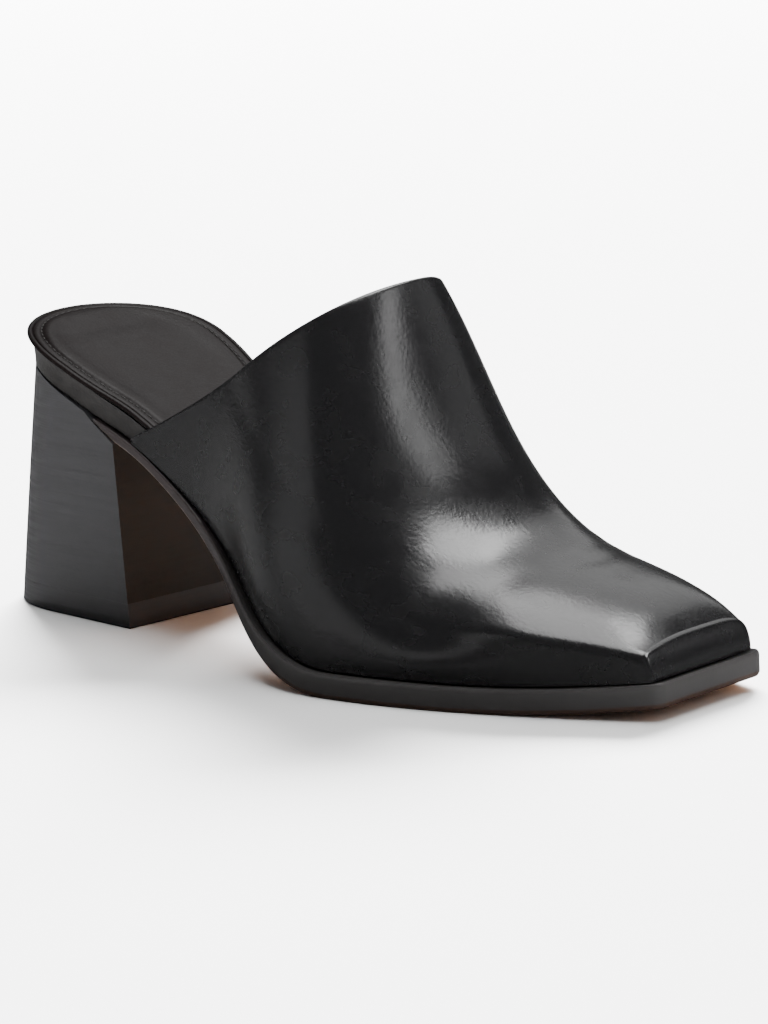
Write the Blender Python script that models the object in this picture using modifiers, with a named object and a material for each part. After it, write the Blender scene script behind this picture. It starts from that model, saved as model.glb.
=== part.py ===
"""Block heel mule, one right shoe for a woman, about EU 37.

A smooth leather mule: a plain one-piece upper with a square toe, a thin sole that runs from
under the heel seat down the waist to the toe, a wrapped footbed, and a flared block heel.

Metres, +Z up. +X runs from heel to toe, +Y to the inner (medial) side of the foot and -Y to
the outer (lateral) side. The floor is z = 0, and the origin is on it, at the middle of the heel.
"""

from collections import namedtuple
from math import cos, pi, radians, sin, sqrt

import bmesh
import bpy
import numpy as np

# Driving dimensions, in metres
LENGTH = 0.238  # back of the footbed to the front edge of the sole
BALL_WIDTH = 0.083  # sole, at its widest
HEEL_HEIGHT = 0.0700  # floor to the seat, at the back
TOE_SPRING = 0.0035  # lift of the sole at the toe
TOE_SKEW = 0.004  # how far the inner end of the square toe lies behind the outer end
SKEW_START = 0.80  # station where the outline starts to slant for that
HEEL_MIDDLE = 0.028  # back of the footbed to the middle of the heel on the floor
CLEARANCE = 0.0003  # between pieces that meet

# Sole
SOLE_WAIST = 0.0027  # edge thickness at the heel breast
SOLE_FOREPART = 0.0063  # edge thickness at the ball and toe
SOLE_TAIL = 0.0008  # thickness of its end between heel and footbed
TAIL_LENGTH = 0.008  # how far the sole reaches back over the heel
SOLE_BEVEL = 0.0006  # worn corner along its two edges
WELT = 0.0026  # ledge of sole that shows round the upper
WELT_REAR = 0.0006  # the same, where the upper starts
WELT_FULL = 0.50  # station from which the ledge has its whole width
OUTER_TOE_CORNER = 0.0022  # radius in plan
INNER_TOE_CORNER = 0.0035  # radius in plan

# Upper
UPPER_WALL = 0.0018  # leather and lining together
VAMP_HEIGHT = 0.0890  # sole to the front of the opening
TOE_HEIGHT = 0.0074  # sole to the top of the toe
TOPLINE_RISE = 0.0012  # height of the rear corner of the upper
TOPLINE_SAG = 0.0037  # how far the topline hangs below a straight line
WALL_SWELL = 0.0011  # how far the wall bulges out low down
TOE_SLANT = 0.0030  # how far the front of the toe leans back
TOE_EDGE = 0.0012  # radius between the front of the toe and its top
SHOULDER_HEIGHT = 0.0056  # sole to the edge between the toe's top and its outer wall, at the tip
SHOULDER_CLIMB = 0.21  # how fast that edge rises towards the back
SHOULDER_ROUND = 0.0018  # radius of that edge
SHOULDER_POWER = 2.2  # of the curve from that edge up to the crown
SHOULDER_START = 0.74  # station where that edge starts to show
SHOULDER_FULL = 0.90  # station from which it has its whole sharpness

# Footbed
BAND_HEIGHT = 0.0063  # wrapped edge of the insole at the heel
BAND_HOLLOW = 0.0005  # how far that edge is drawn in at half height
INSOLE_FOREPART = 0.0026  # insole thickness under the ball
SOCK = 0.0014  # thickness of the covering on top
LIP = 0.0010  # how far the covering hangs over the edge of the insole
SEAT_DISH = 0.0012  # depth of the hollow for the heel of the foot
DISH_EDGE = 0.0045  # where the hollow starts, in from the edge

# Heel
HEEL_TOP_SETBACK = 0.0036  # back of the footbed to the back of the heel's top
HEEL_FOOT_OVERHANG = 0.0050  # how far the heel's foot reaches behind the footbed
BREAST_TOP = 0.0535  # back of the footbed to the heel breast, at the top
BREAST_FOOT = 0.0572  # the same, on the floor
HEEL_FOOT_WIDTH = 0.0592
HEEL_FOOT_ROUND = 2.6  # power of the curve of its back on the floor, 2 for an ellipse
HEEL_TOP_ROUND = 2.1  # the same, at the top
HEEL_BACK_DEPTH = 1.05  # length of that curve, as a share of the heel's half width
LIFT = 0.0065  # thickness of the top lift
LIFT_BEVEL = 0.0005

# Outline of the sole: stations as shares of LENGTH, half widths as shares of BALL_WIDTH
OutlineRow = namedtuple("OutlineRow", "station outer inner")
OUTLINE = (
    OutlineRow(0.130, 0.352, 0.352),
    OutlineRow(0.190, 0.345, 0.334),
    OutlineRow(0.250, 0.336, 0.300),
    OutlineRow(0.340, 0.346, 0.262),
    OutlineRow(0.420, 0.399, 0.258),
    OutlineRow(0.500, 0.499, 0.302),
    OutlineRow(0.585, 0.569, 0.380),
    OutlineRow(0.670, 0.547, 0.436),
    OutlineRow(0.750, 0.484, 0.455),
    OutlineRow(0.840, 0.380, 0.432),
    OutlineRow(0.920, 0.262, 0.386),
    OutlineRow(1.000, 0.136, 0.350),
)

# Underside of the sole and top of the heel: heights as shares of HEEL_HEIGHT
UndersideRow = namedtuple("UndersideRow", "station height")
UNDERSIDE = (
    UndersideRow(0.000, 0.954),
    UndersideRow(0.100, 0.879),
    UndersideRow(0.200, 0.747),
    UndersideRow(0.250, 0.678),
    UndersideRow(0.300, 0.586),
    UndersideRow(0.400, 0.374),
    UndersideRow(0.500, 0.161),
    UndersideRow(0.580, 0.043),
    UndersideRow(0.645, 0.000),
)
TREAD_END = 0.780  # station where the toe spring starts

# Thickness of the insole: fullness is 1 for BAND_HEIGHT and 0 for INSOLE_FOREPART
InsoleRow = namedtuple("InsoleRow", "station fullness")
INSOLE = (
    InsoleRow(0.000, 0.93),
    InsoleRow(0.120, 1.02),
    InsoleRow(0.220, 1.02),
    InsoleRow(0.300, 1.00),
    InsoleRow(0.370, 0.90),
    InsoleRow(0.460, 0.50),
    InsoleRow(0.560, 0.08),
    InsoleRow(0.640, 0.00),
    InsoleRow(1.000, 0.00),
)

# Sections of the upper. Crown is 1 for VAMP_HEIGHT and 0 for TOE_HEIGHT, above the sole.
# Ridge is where the crown lies, from 0 at the outer wall to 1 at the inner one.
# The roundness of each side is 2 for an ellipse, more for a boxier curve and less for one that
# leans in sooner, but never comes to a ridge.
SectionRow = namedtuple("SectionRow", "station crown ridge outer_round inner_round")
SECTIONS = (
    SectionRow(0.240, 1.420, 0.500, 2.20, 2.20),
    SectionRow(0.340, 1.400, 0.520, 2.05, 2.15),
    SectionRow(0.440, 1.340, 0.560, 1.90, 2.05),
    SectionRow(0.520, 1.210, 0.610, 1.80, 2.00),
    SectionRow(0.600, 1.000, 0.660, 1.70, 1.95),
    SectionRow(0.650, 0.665, 0.670, 1.75, 2.00),
    SectionRow(0.710, 0.380, 0.670, 1.85, 2.20),
    SectionRow(0.770, 0.252, 0.650, 2.05, 2.50),
    SectionRow(0.840, 0.192, 0.600, 2.50, 3.00),
    SectionRow(0.910, 0.134, 0.540, 3.20, 3.90),
    SectionRow(0.950, 0.074, 0.510, 4.40, 4.80),
    SectionRow(0.980, 0.000, 0.500, 6.00, 6.00),
)
UPPER_START = 0.250  # station of the upper's rear corners
THROAT = 0.600  # station of the front of the opening

# Stations between which the footbed narrows to go inside the upper, its covering later than
# the board, because it lies above the upper's edge for longer
INSOLE_DRAWS_IN = (0.2420, 0.2485)
SOCK_DRAWS_IN = (0.2580, 0.2800)

# How finely the curved pieces are cut
SEAT_STEPS = 14
OUTLINE_STEPS = 44
TOE_STEPS = 8
WALL_STEPS = 11
THROAT_STEPS = 20
VAMP_STEPS = 26
TOE_EDGE_STEPS = 3
FRONT_STEPS = 4
HEEL_BACK_STEPS = 14
# Where the heel's top drops to let the sole's rear end in, from the back of the footbed
HEEL_LET_IN = (BREAST_TOP - TAIL_LENGTH - 4 * SOLE_TAIL, BREAST_TOP - TAIL_LENGTH - CLEARANCE)
HEEL_SIDE_STEPS = 5
HEEL_FIRST_TURN = radians(6)  # where the first point lies round the back of the heel


class Curve:
    """A smooth curve through the rows of a table. An end slope that isn't given is left free."""

    def __init__(self, stations, values, start_slope=None, end_slope=None):
        self.x = np.array(stations, float)
        self.y = np.array(values, float)
        step = np.diff(self.x)
        rise = np.diff(self.y) / step
        count = len(self.x)
        system = np.zeros((count, count))
        right = np.zeros(count)
        for i in range(1, count - 1):
            system[i, i - 1] = step[i]
            system[i, i] = 2 * (step[i - 1] + step[i])
            system[i, i + 1] = step[i - 1]
            right[i] = 3 * (step[i] * rise[i - 1] + step[i - 1] * rise[i])
        for row, beside, given, free in (
            (0, 1, start_slope, rise[0]),
            (-1, -2, end_slope, rise[-1]),
        ):
            system[row, row] = 1 if given is not None else 2
            system[row, beside] = 0 if given is not None else 1
            right[row] = given if given is not None else 3 * free
        self.slope = np.linalg.solve(system, right)

    def __call__(self, x):
        x = min(max(x, self.x[0]), self.x[-1])
        i = min(int(np.searchsorted(self.x, x, side="right")) - 1, len(self.x) - 2)
        span = self.x[i + 1] - self.x[i]
        t = (x - self.x[i]) / span
        return float(
            self.y[i] * (1 + 2 * t) * (1 - t) ** 2
            + self.slope[i] * span * t * (1 - t) ** 2
            + self.y[i + 1] * t * t * (3 - 2 * t)
            + self.slope[i + 1] * span * t * t * (t - 1)
        )


def column(table, name, **slopes):
    """One column of a table as a smooth curve over the stations."""
    return Curve([row.station for row in table], [getattr(row, name) for row in table], **slopes)


OUTER, INNER = "outer", "inner"
HALF_WIDTH = {OUTER: column(OUTLINE, "outer"), INNER: column(OUTLINE, "inner")}
ROUND = {OUTER: column(SECTIONS, "outer_round"), INNER: column(SECTIONS, "inner_round")}
UNDERSIDE_SHARE = column(UNDERSIDE, "height", end_slope=0.0)
CROWN_SHARE = column(SECTIONS, "crown")
RIDGE_SHARE = column(SECTIONS, "ridge")
FULLNESS = column(INSOLE, "fullness")
SEAT_END = OUTLINE[0].station * LENGTH


def ease(x, start, end):
    """0 before start, 1 after end, and a smooth step between."""
    t = min(max((x - start) / (end - start), 0.0), 1.0)
    return t * t * (3 - 2 * t)


def mix(a, b, t):
    return a + (b - a) * t


def sole_thickness(x):
    if x < BREAST_TOP:
        along = (x - BREAST_TOP + TAIL_LENGTH) / TAIL_LENGTH
        return mix(SOLE_TAIL, SOLE_WAIST, max(along, 0.0))
    return mix(SOLE_WAIST, SOLE_FOREPART, ease(x, BREAST_TOP, OUTLINE[6].station * LENGTH))


def underside(x):
    """Height of the sole's underside x metres from the back. Its rear end thins from below."""
    tread_end = TREAD_END * LENGTH
    if x > tread_end:
        return TOE_SPRING * ((x - tread_end) / (LENGTH - tread_end)) ** 2
    taper = SOLE_WAIST - sole_thickness(x) if x < BREAST_TOP else 0.0
    return HEEL_HEIGHT * UNDERSIDE_SHARE(x / LENGTH) + taper


def sole_top(x):
    return underside(x) + sole_thickness(x)


def half_width(side, x):
    """Half width of the sole's outline ahead of the seat, without its toe corners."""
    return BALL_WIDTH * HALF_WIDTH[side](x / LENGTH)


def outline_y(side, x, inset, back, roundness=2.0):
    """Half width of an outline that lies inset within the sole's, with a round end at back."""
    if x < SEAT_END:
        reach = min((SEAT_END - x) / (SEAT_END - back), 1.0)
        return (half_width(side, SEAT_END) - inset) * (1 - reach**roundness) ** (1 / roundness)
    step = 0.0005
    slope = (half_width(side, x + step) - half_width(side, x - step)) / (2 * step)
    y = half_width(side, x) - inset * sqrt(1 + slope**2)
    corner = OUTER_TOE_CORNER if side == OUTER else INNER_TOE_CORNER
    past = x - (LENGTH - inset - corner)
    if past > 0:
        y -= corner - sqrt(max(corner**2 - past**2, 0.0))
    return y


def placed(x, y, z):
    """A point in the model's frame, from x metres ahead of the back of the footbed."""
    across = (y + half_width(OUTER, LENGTH)) / (half_width(OUTER, LENGTH) + half_width(INNER, LENGTH))
    skew = TOE_SKEW * across * ease(x, SKEW_START * LENGTH, LENGTH)
    return (x - skew - HEEL_MIDDLE, y, z)


def stations(back, front):
    """Stations of a piece, closer together at a round back and at the corners of the toe."""
    toe = 0.90 * LENGTH
    seat = [back + (SEAT_END - back) * (1 - cos(i / SEAT_STEPS * pi / 2)) for i in range(1, SEAT_STEPS)]
    middle = [SEAT_END + (toe - SEAT_END) * i / OUTLINE_STEPS for i in range(OUTLINE_STEPS)]
    middle = sorted(middle + [share * LENGTH for share in INSOLE_DRAWS_IN + SOCK_DRAWS_IN] + [BREAST_TOP])
    tip = [toe + (front - toe) * sin(i / TOE_STEPS * pi / 2) for i in range(TOE_STEPS + 1)]
    if back > SEAT_END:
        return [back] + [x for x in middle if x > back] + tip
    return seat + middle + tip


def ring(xs, outer, inner, height):
    """A closed loop of points: up the outer side from back to front, then down the inner side."""
    loop = [placed(x, -outer(x), height(x)) for x in xs]
    loop += [placed(x, inner(x), height(x)) for x in reversed(xs)]
    return loop


def add_object(name, mesh, material):
    mesh.name = name
    mesh.materials.append(material)
    obj = bpy.data.objects.new(name, mesh)
    parts.objects.link(obj)
    return obj


def layered_solid(name, rings, material):
    """A solid from rings laid on each other, lowest first, and closed across the first and last."""
    count = len(rings[0])
    half = count // 2
    shape = bmesh.new()
    rows = [[shape.verts.new(point) for point in loop] for loop in rings]
    for low, high in zip(rows, rows[1:]):
        for i in range(count):
            j = (i + 1) % count
            shape.faces.new((low[i], high[i], high[j], low[j]))
    for i in range(half - 1):
        a, b, c, d = i, i + 1, count - 2 - i, count - 1 - i
        shape.faces.new([rows[0][k] for k in (a, b, c, d)])
        shape.faces.new([rows[-1][k] for k in (d, c, b, a)])
    bmesh.ops.recalc_face_normals(shape, faces=shape.faces)
    bmesh.ops.triangulate(shape, faces=shape.faces, quad_method="SHORT_EDGE")
    mesh = bpy.data.meshes.new(name)
    shape.to_mesh(mesh)
    shape.free()
    obj = add_object(name, mesh, material)
    mesh.shade_smooth()
    mesh.set_sharp_from_angle(angle=radians(32))
    return obj


def material(name, colour, roughness, coat=0.0):
    made = bpy.data.materials.new(name)
    made.use_nodes = True
    shader = made.node_tree.nodes["Principled BSDF"]
    shader.inputs["Base Color"].default_value = (*colour, 1.0)
    shader.inputs["Roughness"].default_value = roughness
    shader.inputs["Metallic"].default_value = 0.0
    shader.inputs["Coat Weight"].default_value = coat
    return made


def outsole():
    """One thin sole with a square toe, its rear end tapered to slip in between heel and footbed."""
    back = BREAST_TOP - TAIL_LENGTH

    def loop(inset, height):
        def edge(side):
            return lambda x: outline_y(side, x, inset, inset)

        return ring(stations(back, LENGTH - inset), edge(OUTER), edge(INNER), height)

    def between(share):
        return lambda x: underside(x) + sole_thickness(x) * share

    rings = [
        loop(SOLE_BEVEL, underside),
        loop(0.0, between(0.18)),
        loop(0.0, between(0.82)),
        loop(SOLE_BEVEL, sole_top),
    ]
    return layered_solid("outsole", rings, SOLE_RESIN)


def welt(x):
    """Width of the ledge of sole outside the upper."""
    return mix(WELT_REAR, WELT, ease(x, UPPER_START * LENGTH, WELT_FULL * LENGTH))


def standing(x, y, rise):
    """A point above the sole, x metres ahead of the back of the footbed."""
    return placed(x, y, sole_top(x) + CLEARANCE + rise)


def topline(x):
    """Height of the opening's edge above the sole. In side view the edge sags a little."""
    start, end = UPPER_START * LENGTH, THROAT * LENGTH
    low = sole_top(start) + TOPLINE_RISE
    high = sole_top(end) + VAMP_HEIGHT
    t = (x - start) / (end - start)
    return mix(low, high, t) - TOPLINE_SAG * 4 * t * (1 - t) - sole_top(x)


def leaned(share):
    """How much of the toe's slant is left at a share of its height: none of it shows at the sole."""
    return TOE_SLANT * (1 - share**2)


def crown_height(x):
    return mix(TOE_HEIGHT, VAMP_HEIGHT, CROWN_SHARE(x / LENGTH))


def section(x, side, steps=80):
    """Outer face of one side of the upper at a station: (y, rise) from the sole to the crown."""
    crown = crown_height(x)
    wall = {s: outline_y(s, min(x, LENGTH - welt(x)), welt(x), 0.0) for s in (OUTER, INNER)}
    ridge = mix(-wall[OUTER], wall[INNER], RIDGE_SHARE(x / LENGTH))
    sign = -1 if side == OUTER else 1
    reach = wall[side] - sign * ridge
    roundness = ROUND[side](x / LENGTH)
    boxy = ease(roundness, 1.8, 2.4)
    across_power = mix(1.0, 2 / roundness, boxy)
    rise_power = mix((2 / roundness) ** 2, 2 / roundness, boxy)
    tall = ease(crown, TOE_HEIGHT, 0.4 * VAMP_HEIGHT)
    points = []
    for i in range(steps + 1):
        angle = i / steps * pi / 2
        rise = sin(angle) ** rise_power
        swell = WALL_SWELL * tall * sin(pi * min(2.5 * rise, 1.0))
        across = reach * max(cos(angle), 0.0) ** across_power + swell
        points.append((ridge + sign * across, crown * rise))
    line = np.array(points)
    return shouldered(line, x) if side == OUTER and x > SHOULDER_START * LENGTH else line


def shouldered(line, x):
    """The line with the crisp shoulder of a square toe, where its flat top turns down into the wall."""
    crown = line[-1, 1]
    foot, top = line[0, 0], line[-1, 0]
    height = min(SHOULDER_HEIGHT + SHOULDER_CLIMB * (LENGTH - x), 0.85 * crown)
    t = np.linspace(SHOULDER_ROUND / abs(top - foot), 1, len(line))
    cap = np.stack([mix(foot, top, t), mix(height, crown, 1 - (1 - t) ** SHOULDER_POWER)], axis=1)
    b = np.linspace(0, 1, 9)[:-1, None]
    low, corner = np.array([foot, height - SHOULDER_ROUND]), np.array([foot, height])
    turn = (1 - b) ** 2 * low + 2 * b * (1 - b) * corner + b**2 * cap[0]
    sharp = np.vstack([[[foot, 0.0]], turn, cap])
    share = ease(x, SHOULDER_START * LENGTH, SHOULDER_FULL * LENGTH)
    return mix(resampled(line, len(line)), resampled(sharp, len(line)), share)


def resampled(points, steps):
    """The same line with evenly spaced points."""
    lengths = np.concatenate([[0.0], np.cumsum(np.linalg.norm(np.diff(points, axis=0), axis=1))])
    at = np.linspace(0.0, lengths[-1], steps + 1)
    return np.stack([np.interp(at, lengths, points[:, k]) for k in range(points.shape[1])], axis=1)


def cut_at(points, rise):
    """The part of a rising line below a height."""
    above = int(np.searchsorted(points[:, 1], rise))
    if above >= len(points):
        return points
    last, after = points[above - 1], points[above]
    t = (rise - last[1]) / (after[1] - last[1])
    return np.vstack([points[:above], last + (after - last) * t])


def upper_column(x, side):
    """Points up one wall of the upper at a station, as far as the topline or the crown."""
    line = section(x, side)
    if x < THROAT * LENGTH:
        line = cut_at(line, topline(x))
    crown = line[-1, 1]
    part = ease(x, 0.90 * LENGTH, 0.98 * LENGTH)
    return [standing(x + part * leaned(rise / crown), y, rise) for y, rise in resampled(line, WALL_STEPS)]


def toe_front(x):
    """Rows that turn over the front edge of the toe and run down its face to the sole."""
    lines = {s: resampled(section(x, s), WALL_STEPS) for s in (OUTER, INNER)}
    middle, crown = lines[OUTER][-1]

    def row(ahead, shape):
        return {
            side: [
                standing(x + ahead + leaned(rise / crown), y, rise)
                for y, rise in (shape(k, y, rise) for k, (y, rise) in enumerate(line))
            ]
            for side, line in lines.items()
        }

    def drawn_in(amount):
        def shape(k, y, rise):
            reach = abs(lines[OUTER if y < middle else INNER][0, 0] - middle)
            return middle + (y - middle) * (1 - amount / reach), rise * (1 - amount / crown)

        return shape

    def lowered(share):
        edge = drawn_in(TOE_EDGE)

        def shape(k, y, rise):
            top_y, top_rise = edge(k, y, rise)
            foot_y, _ = edge(0, lines[OUTER if y < middle else INNER][0, 0], 0.0)
            return mix(top_y, mix(foot_y, middle, k / WALL_STEPS), share), top_rise * (1 - share)

        return shape

    turns = [(i + 1) / TOE_EDGE_STEPS * pi / 2 for i in range(TOE_EDGE_STEPS)]
    rows = [row(TOE_EDGE * sin(a), drawn_in(TOE_EDGE * (1 - cos(a)))) for a in turns]
    rows += [row(TOE_EDGE, lowered((i + 1) / FRONT_STEPS)) for i in range(FRONT_STEPS)]
    return rows


def upper_stations():
    """Stations of the upper, closer together at the throat, on both sides of it, and at the toe."""
    start, throat = UPPER_START * LENGTH, THROAT * LENGTH
    end = LENGTH - WELT - TOE_SLANT - TOE_EDGE
    quarter = [start + (throat - start) * sin(i / THROAT_STEPS * pi / 2) for i in range(THROAT_STEPS)]
    vamp = [mix(throat, end, (1 - cos(i / VAMP_STEPS * pi)) / 2) for i in range(VAMP_STEPS + 1)]
    return quarter, vamp


def upper():
    """The whole upper as one open sheet of leather, thickened inwards."""
    quarter, vamp = upper_stations()
    rows = [{s: upper_column(x, s) for s in (OUTER, INNER)} for x in quarter + vamp]
    rows += toe_front(vamp[-1])
    shape = bmesh.new()
    grid = {s: [[shape.verts.new(p) for p in row[s]] for row in rows] for s in (OUTER, INNER)}
    for side, lines in grid.items():
        for near, far in zip(lines, lines[1:]):
            for k in range(WALL_STEPS):
                corners = (near[k], far[k], far[k + 1], near[k + 1])
                shape.faces.new(corners if side == OUTER else corners[::-1])
    bmesh.ops.remove_doubles(shape, verts=shape.verts, dist=0.00002)
    mesh = bpy.data.meshes.new("upper")
    shape.to_mesh(mesh)
    shape.free()
    obj = add_object("upper", mesh, UPPER_LEATHER)
    wall = obj.modifiers.new("wall", "SOLIDIFY")
    wall.thickness = UPPER_WALL
    wall.offset = -1.0
    wall.use_even_offset = True
    wall.use_rim = True
    mesh.shade_smooth()
    mesh.set_sharp_from_angle(angle=radians(40))
    return obj


def inside_inset(x, start, end):
    """How far the footbed lies within the sole's outline, as it passes inside the upper."""
    return (welt(x) + UPPER_WALL + 2 * CLEARANCE) * ease(x, start * LENGTH, end * LENGTH)


def insole_bottom(x):
    """The insole lies on the heel at the back, then on the sole."""
    return sole_top(x) + CLEARANCE


def insole_top(x):
    """Thick at the seat, thin inside the shoe."""
    return insole_bottom(x) + mix(INSOLE_FOREPART, BAND_HEIGHT, FULLNESS(x / LENGTH))


def footbed_ring(back, inset, height, inside):
    """A loop at a footbed's level. Inside gives the stations where it draws in to fit the upper."""
    front = LENGTH - welt(LENGTH) - UPPER_WALL - TOE_SLANT - 2 * CLEARANCE

    def edge(side):
        return lambda x: outline_y(side, x, inset + inside_inset(x, *inside), back)

    return ring(stations(back, front - inset), edge(OUTER), edge(INNER), height)


def insole_level(share):
    return lambda x: mix(insole_bottom(x), insole_top(x), share)


def above_insole(extra, dish=0.0):
    """Heights over the insole's top, with a hollow for the heel of the foot."""
    return lambda x: insole_top(x) + extra - dish * SEAT_DISH * (1 - ease(x, 0.15 * LENGTH, 0.40 * LENGTH))


def insole():
    """The insole board, thick and wrapped round its edge at the heel, thin inside the shoe."""
    low_back = HEEL_TOP_SETBACK - LIP
    drawn_in = LIP + BAND_HOLLOW
    layers = (
        (low_back, LIP, insole_level(0.0)),
        (low_back, drawn_in, insole_level(0.4)),
        (drawn_in, drawn_in, insole_level(0.8)),
        (LIP, LIP, insole_level(1.0)),
        (DISH_EDGE, DISH_EDGE, insole_level(1.0)),
        (2 * DISH_EDGE, 2 * DISH_EDGE, above_insole(0.0, dish=1.0)),
    )
    rings = [footbed_ring(*layer, INSOLE_DRAWS_IN) for layer in layers]
    return layered_solid("insole", rings, WRAPPED_LEATHER)


def sock_lining():
    """The leather covering of the footbed, rolled over at its edge and dished at the heel."""
    top = CLEARANCE + SOCK
    layers = (
        (2 * DISH_EDGE, above_insole(CLEARANCE, dish=1.0), INSOLE_DRAWS_IN),
        (DISH_EDGE, above_insole(CLEARANCE), INSOLE_DRAWS_IN),
        (LIP, above_insole(CLEARANCE), SOCK_DRAWS_IN),
        (0.3 * LIP, above_insole(CLEARANCE), SOCK_DRAWS_IN),
        (0.0, above_insole(CLEARANCE + 0.4 * SOCK), SOCK_DRAWS_IN),
        (0.5 * LIP, above_insole(top), SOCK_DRAWS_IN),
        (DISH_EDGE, above_insole(top), INSOLE_DRAWS_IN),
        (2 * DISH_EDGE, above_insole(top, dish=1.0), INSOLE_DRAWS_IN),
    )
    rings = [footbed_ring(inset, inset, height, inside) for inset, height, inside in layers]
    return layered_solid("sock_lining", rings, SOCK_LEATHER)


def heel_seat(x):
    """Height of the heel's top: it carries the footbed, and the sole's thin rear end is let in."""
    let_in = ease(x, *HEEL_LET_IN)
    return sole_top(x) - (sole_thickness(x) + CLEARANCE) * let_in


def heel_loop(share, inset, height):
    """Outline of the heel, from its foot at share 0 to its top at share 1: round back, flat breast."""
    back = mix(-HEEL_FOOT_OVERHANG, HEEL_TOP_SETBACK, share) + inset
    breast = mix(BREAST_FOOT, BREAST_TOP, share) - inset
    half = mix(HEEL_FOOT_WIDTH / 2, half_width(OUTER, SEAT_END) - 0.5 * LIP, share) - inset
    roundness = mix(HEEL_FOOT_ROUND, HEEL_TOP_ROUND, share)
    centre = back + HEEL_BACK_DEPTH * half

    def edge(x):
        reach = max((centre - x) / (centre - back), 0.0)
        return half * max(1 - reach**roundness, 0.0) ** (1 / roundness)

    turn = [mix(HEEL_FIRST_TURN, pi / 2, i / HEEL_BACK_STEPS) for i in range(HEEL_BACK_STEPS + 1)]
    xs = [back + (centre - back) * (1 - cos(a)) for a in turn]
    xs += [mix(centre, breast, (i + 1) / HEEL_SIDE_STEPS) for i in range(HEEL_SIDE_STEPS)]
    top_length = BREAST_TOP - HEEL_TOP_SETBACK
    xs = sorted(xs + [mix(back, breast, (x - HEEL_TOP_SETBACK) / top_length) for x in HEEL_LET_IN])
    return ring(xs, edge, edge, lambda x: height(x, back, breast))


def heel_level(share):
    """Height of a layer of the heel block, from level on the lift to the slope of the seat."""

    def height(x, back, breast):
        along = (x - back) / (breast - back)
        seat = heel_seat(mix(HEEL_TOP_SETBACK, BREAST_TOP, along))
        return mix(LIFT + CLEARANCE, seat, share)

    return height


def heel_block():
    """The block heel, flared towards the floor, its top sloped to the seat of the shoe."""
    foot_share = (LIFT + CLEARANCE) / HEEL_HEIGHT
    layers = (0.0, 0.35, 0.7, 1.0)
    rings = [heel_loop(mix(foot_share, 1.0, t), 0.0, heel_level(t)) for t in layers]
    return layered_solid("heel_block", rings, HEEL_STACK)


def heel_top_lift():
    """The tread of the heel."""
    share = LIFT / HEEL_HEIGHT

    def flat(z):
        return lambda x, back, breast: z

    rings = [
        heel_loop(0.0, LIFT_BEVEL, flat(0.0)),
        heel_loop(0.0, 0.0, flat(LIFT_BEVEL)),
        heel_loop(share, 0.0, flat(LIFT)),
    ]
    return layered_solid("heel_top_lift", rings, LIFT_RUBBER)


for old in list(bpy.data.objects):
    bpy.data.objects.remove(old, do_unlink=True)
parts = bpy.data.collections.new("block_heel_mule")
bpy.context.scene.collection.children.link(parts)

UPPER_LEATHER = material("upper_leather", (0.012, 0.012, 0.013), 0.28, coat=0.3)
SOLE_RESIN = material("sole_resin", (0.020, 0.014, 0.011), 0.45)
WRAPPED_LEATHER = material("wrapped_leather", (0.015, 0.014, 0.014), 0.40)
SOCK_LEATHER = material("sock_leather", (0.030, 0.024, 0.022), 0.48)
HEEL_STACK = material("heel_stack", (0.022, 0.020, 0.020), 0.50)
LIFT_RUBBER = material("lift_rubber", (0.014, 0.013, 0.013), 0.60)

outsole()
upper()
insole()
sock_lining()
heel_block()
heel_top_lift()
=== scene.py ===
# %% [markdown]
# # A block heel mule
# The shoe is a backless black leather mule: a square toe, a high plain vamp, a thin sole, a
# wrapped footbed and a flared block heel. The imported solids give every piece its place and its
# size. This lesson builds a finer mesh over each solid, gives it the finish of the real one, and
# sets up a small photo studio. All sizes are in metres, and +X runs from heel to toe.

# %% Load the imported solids
from collections import namedtuple
from math import cos, pi, radians, sin, sqrt

import bmesh
import bpy
import numpy as np
from mathutils import Matrix, Vector


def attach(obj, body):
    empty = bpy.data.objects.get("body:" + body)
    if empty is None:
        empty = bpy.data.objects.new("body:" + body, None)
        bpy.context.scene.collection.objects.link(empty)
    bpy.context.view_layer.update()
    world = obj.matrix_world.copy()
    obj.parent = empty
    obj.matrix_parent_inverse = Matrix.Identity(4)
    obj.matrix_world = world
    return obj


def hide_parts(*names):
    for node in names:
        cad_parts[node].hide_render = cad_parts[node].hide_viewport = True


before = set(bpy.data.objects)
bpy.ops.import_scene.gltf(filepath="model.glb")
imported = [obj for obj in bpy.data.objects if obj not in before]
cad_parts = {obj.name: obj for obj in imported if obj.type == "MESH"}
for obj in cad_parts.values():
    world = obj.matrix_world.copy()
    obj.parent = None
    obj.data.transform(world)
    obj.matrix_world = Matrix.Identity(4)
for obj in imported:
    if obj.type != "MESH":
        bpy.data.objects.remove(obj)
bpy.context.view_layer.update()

# %% [markdown]
# ## The sizes that the maker works from
# A shoemaker starts from the last: the outline of the sole, the curve of the underside from heel
# to ball, and the cross sections of the foot. These are the same named sizes and tables that the
# solids were made from, so that the finer meshes lie exactly on them.

# %% Sizes of the shoe
LENGTH = 0.238
BALL_WIDTH = 0.083
HEEL_HEIGHT = 0.0700
TOE_SPRING = 0.0035
TOE_SKEW = 0.004
SKEW_START = 0.80
HEEL_MIDDLE = 0.028
CLEARANCE = 0.0003

SOLE_WAIST = 0.0027
SOLE_FOREPART = 0.0063
SOLE_TAIL = 0.0008
TAIL_LENGTH = 0.008
WELT = 0.0026
WELT_REAR = 0.0006
WELT_FULL = 0.50
OUTER_TOE_CORNER = 0.0022
INNER_TOE_CORNER = 0.0035

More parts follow.
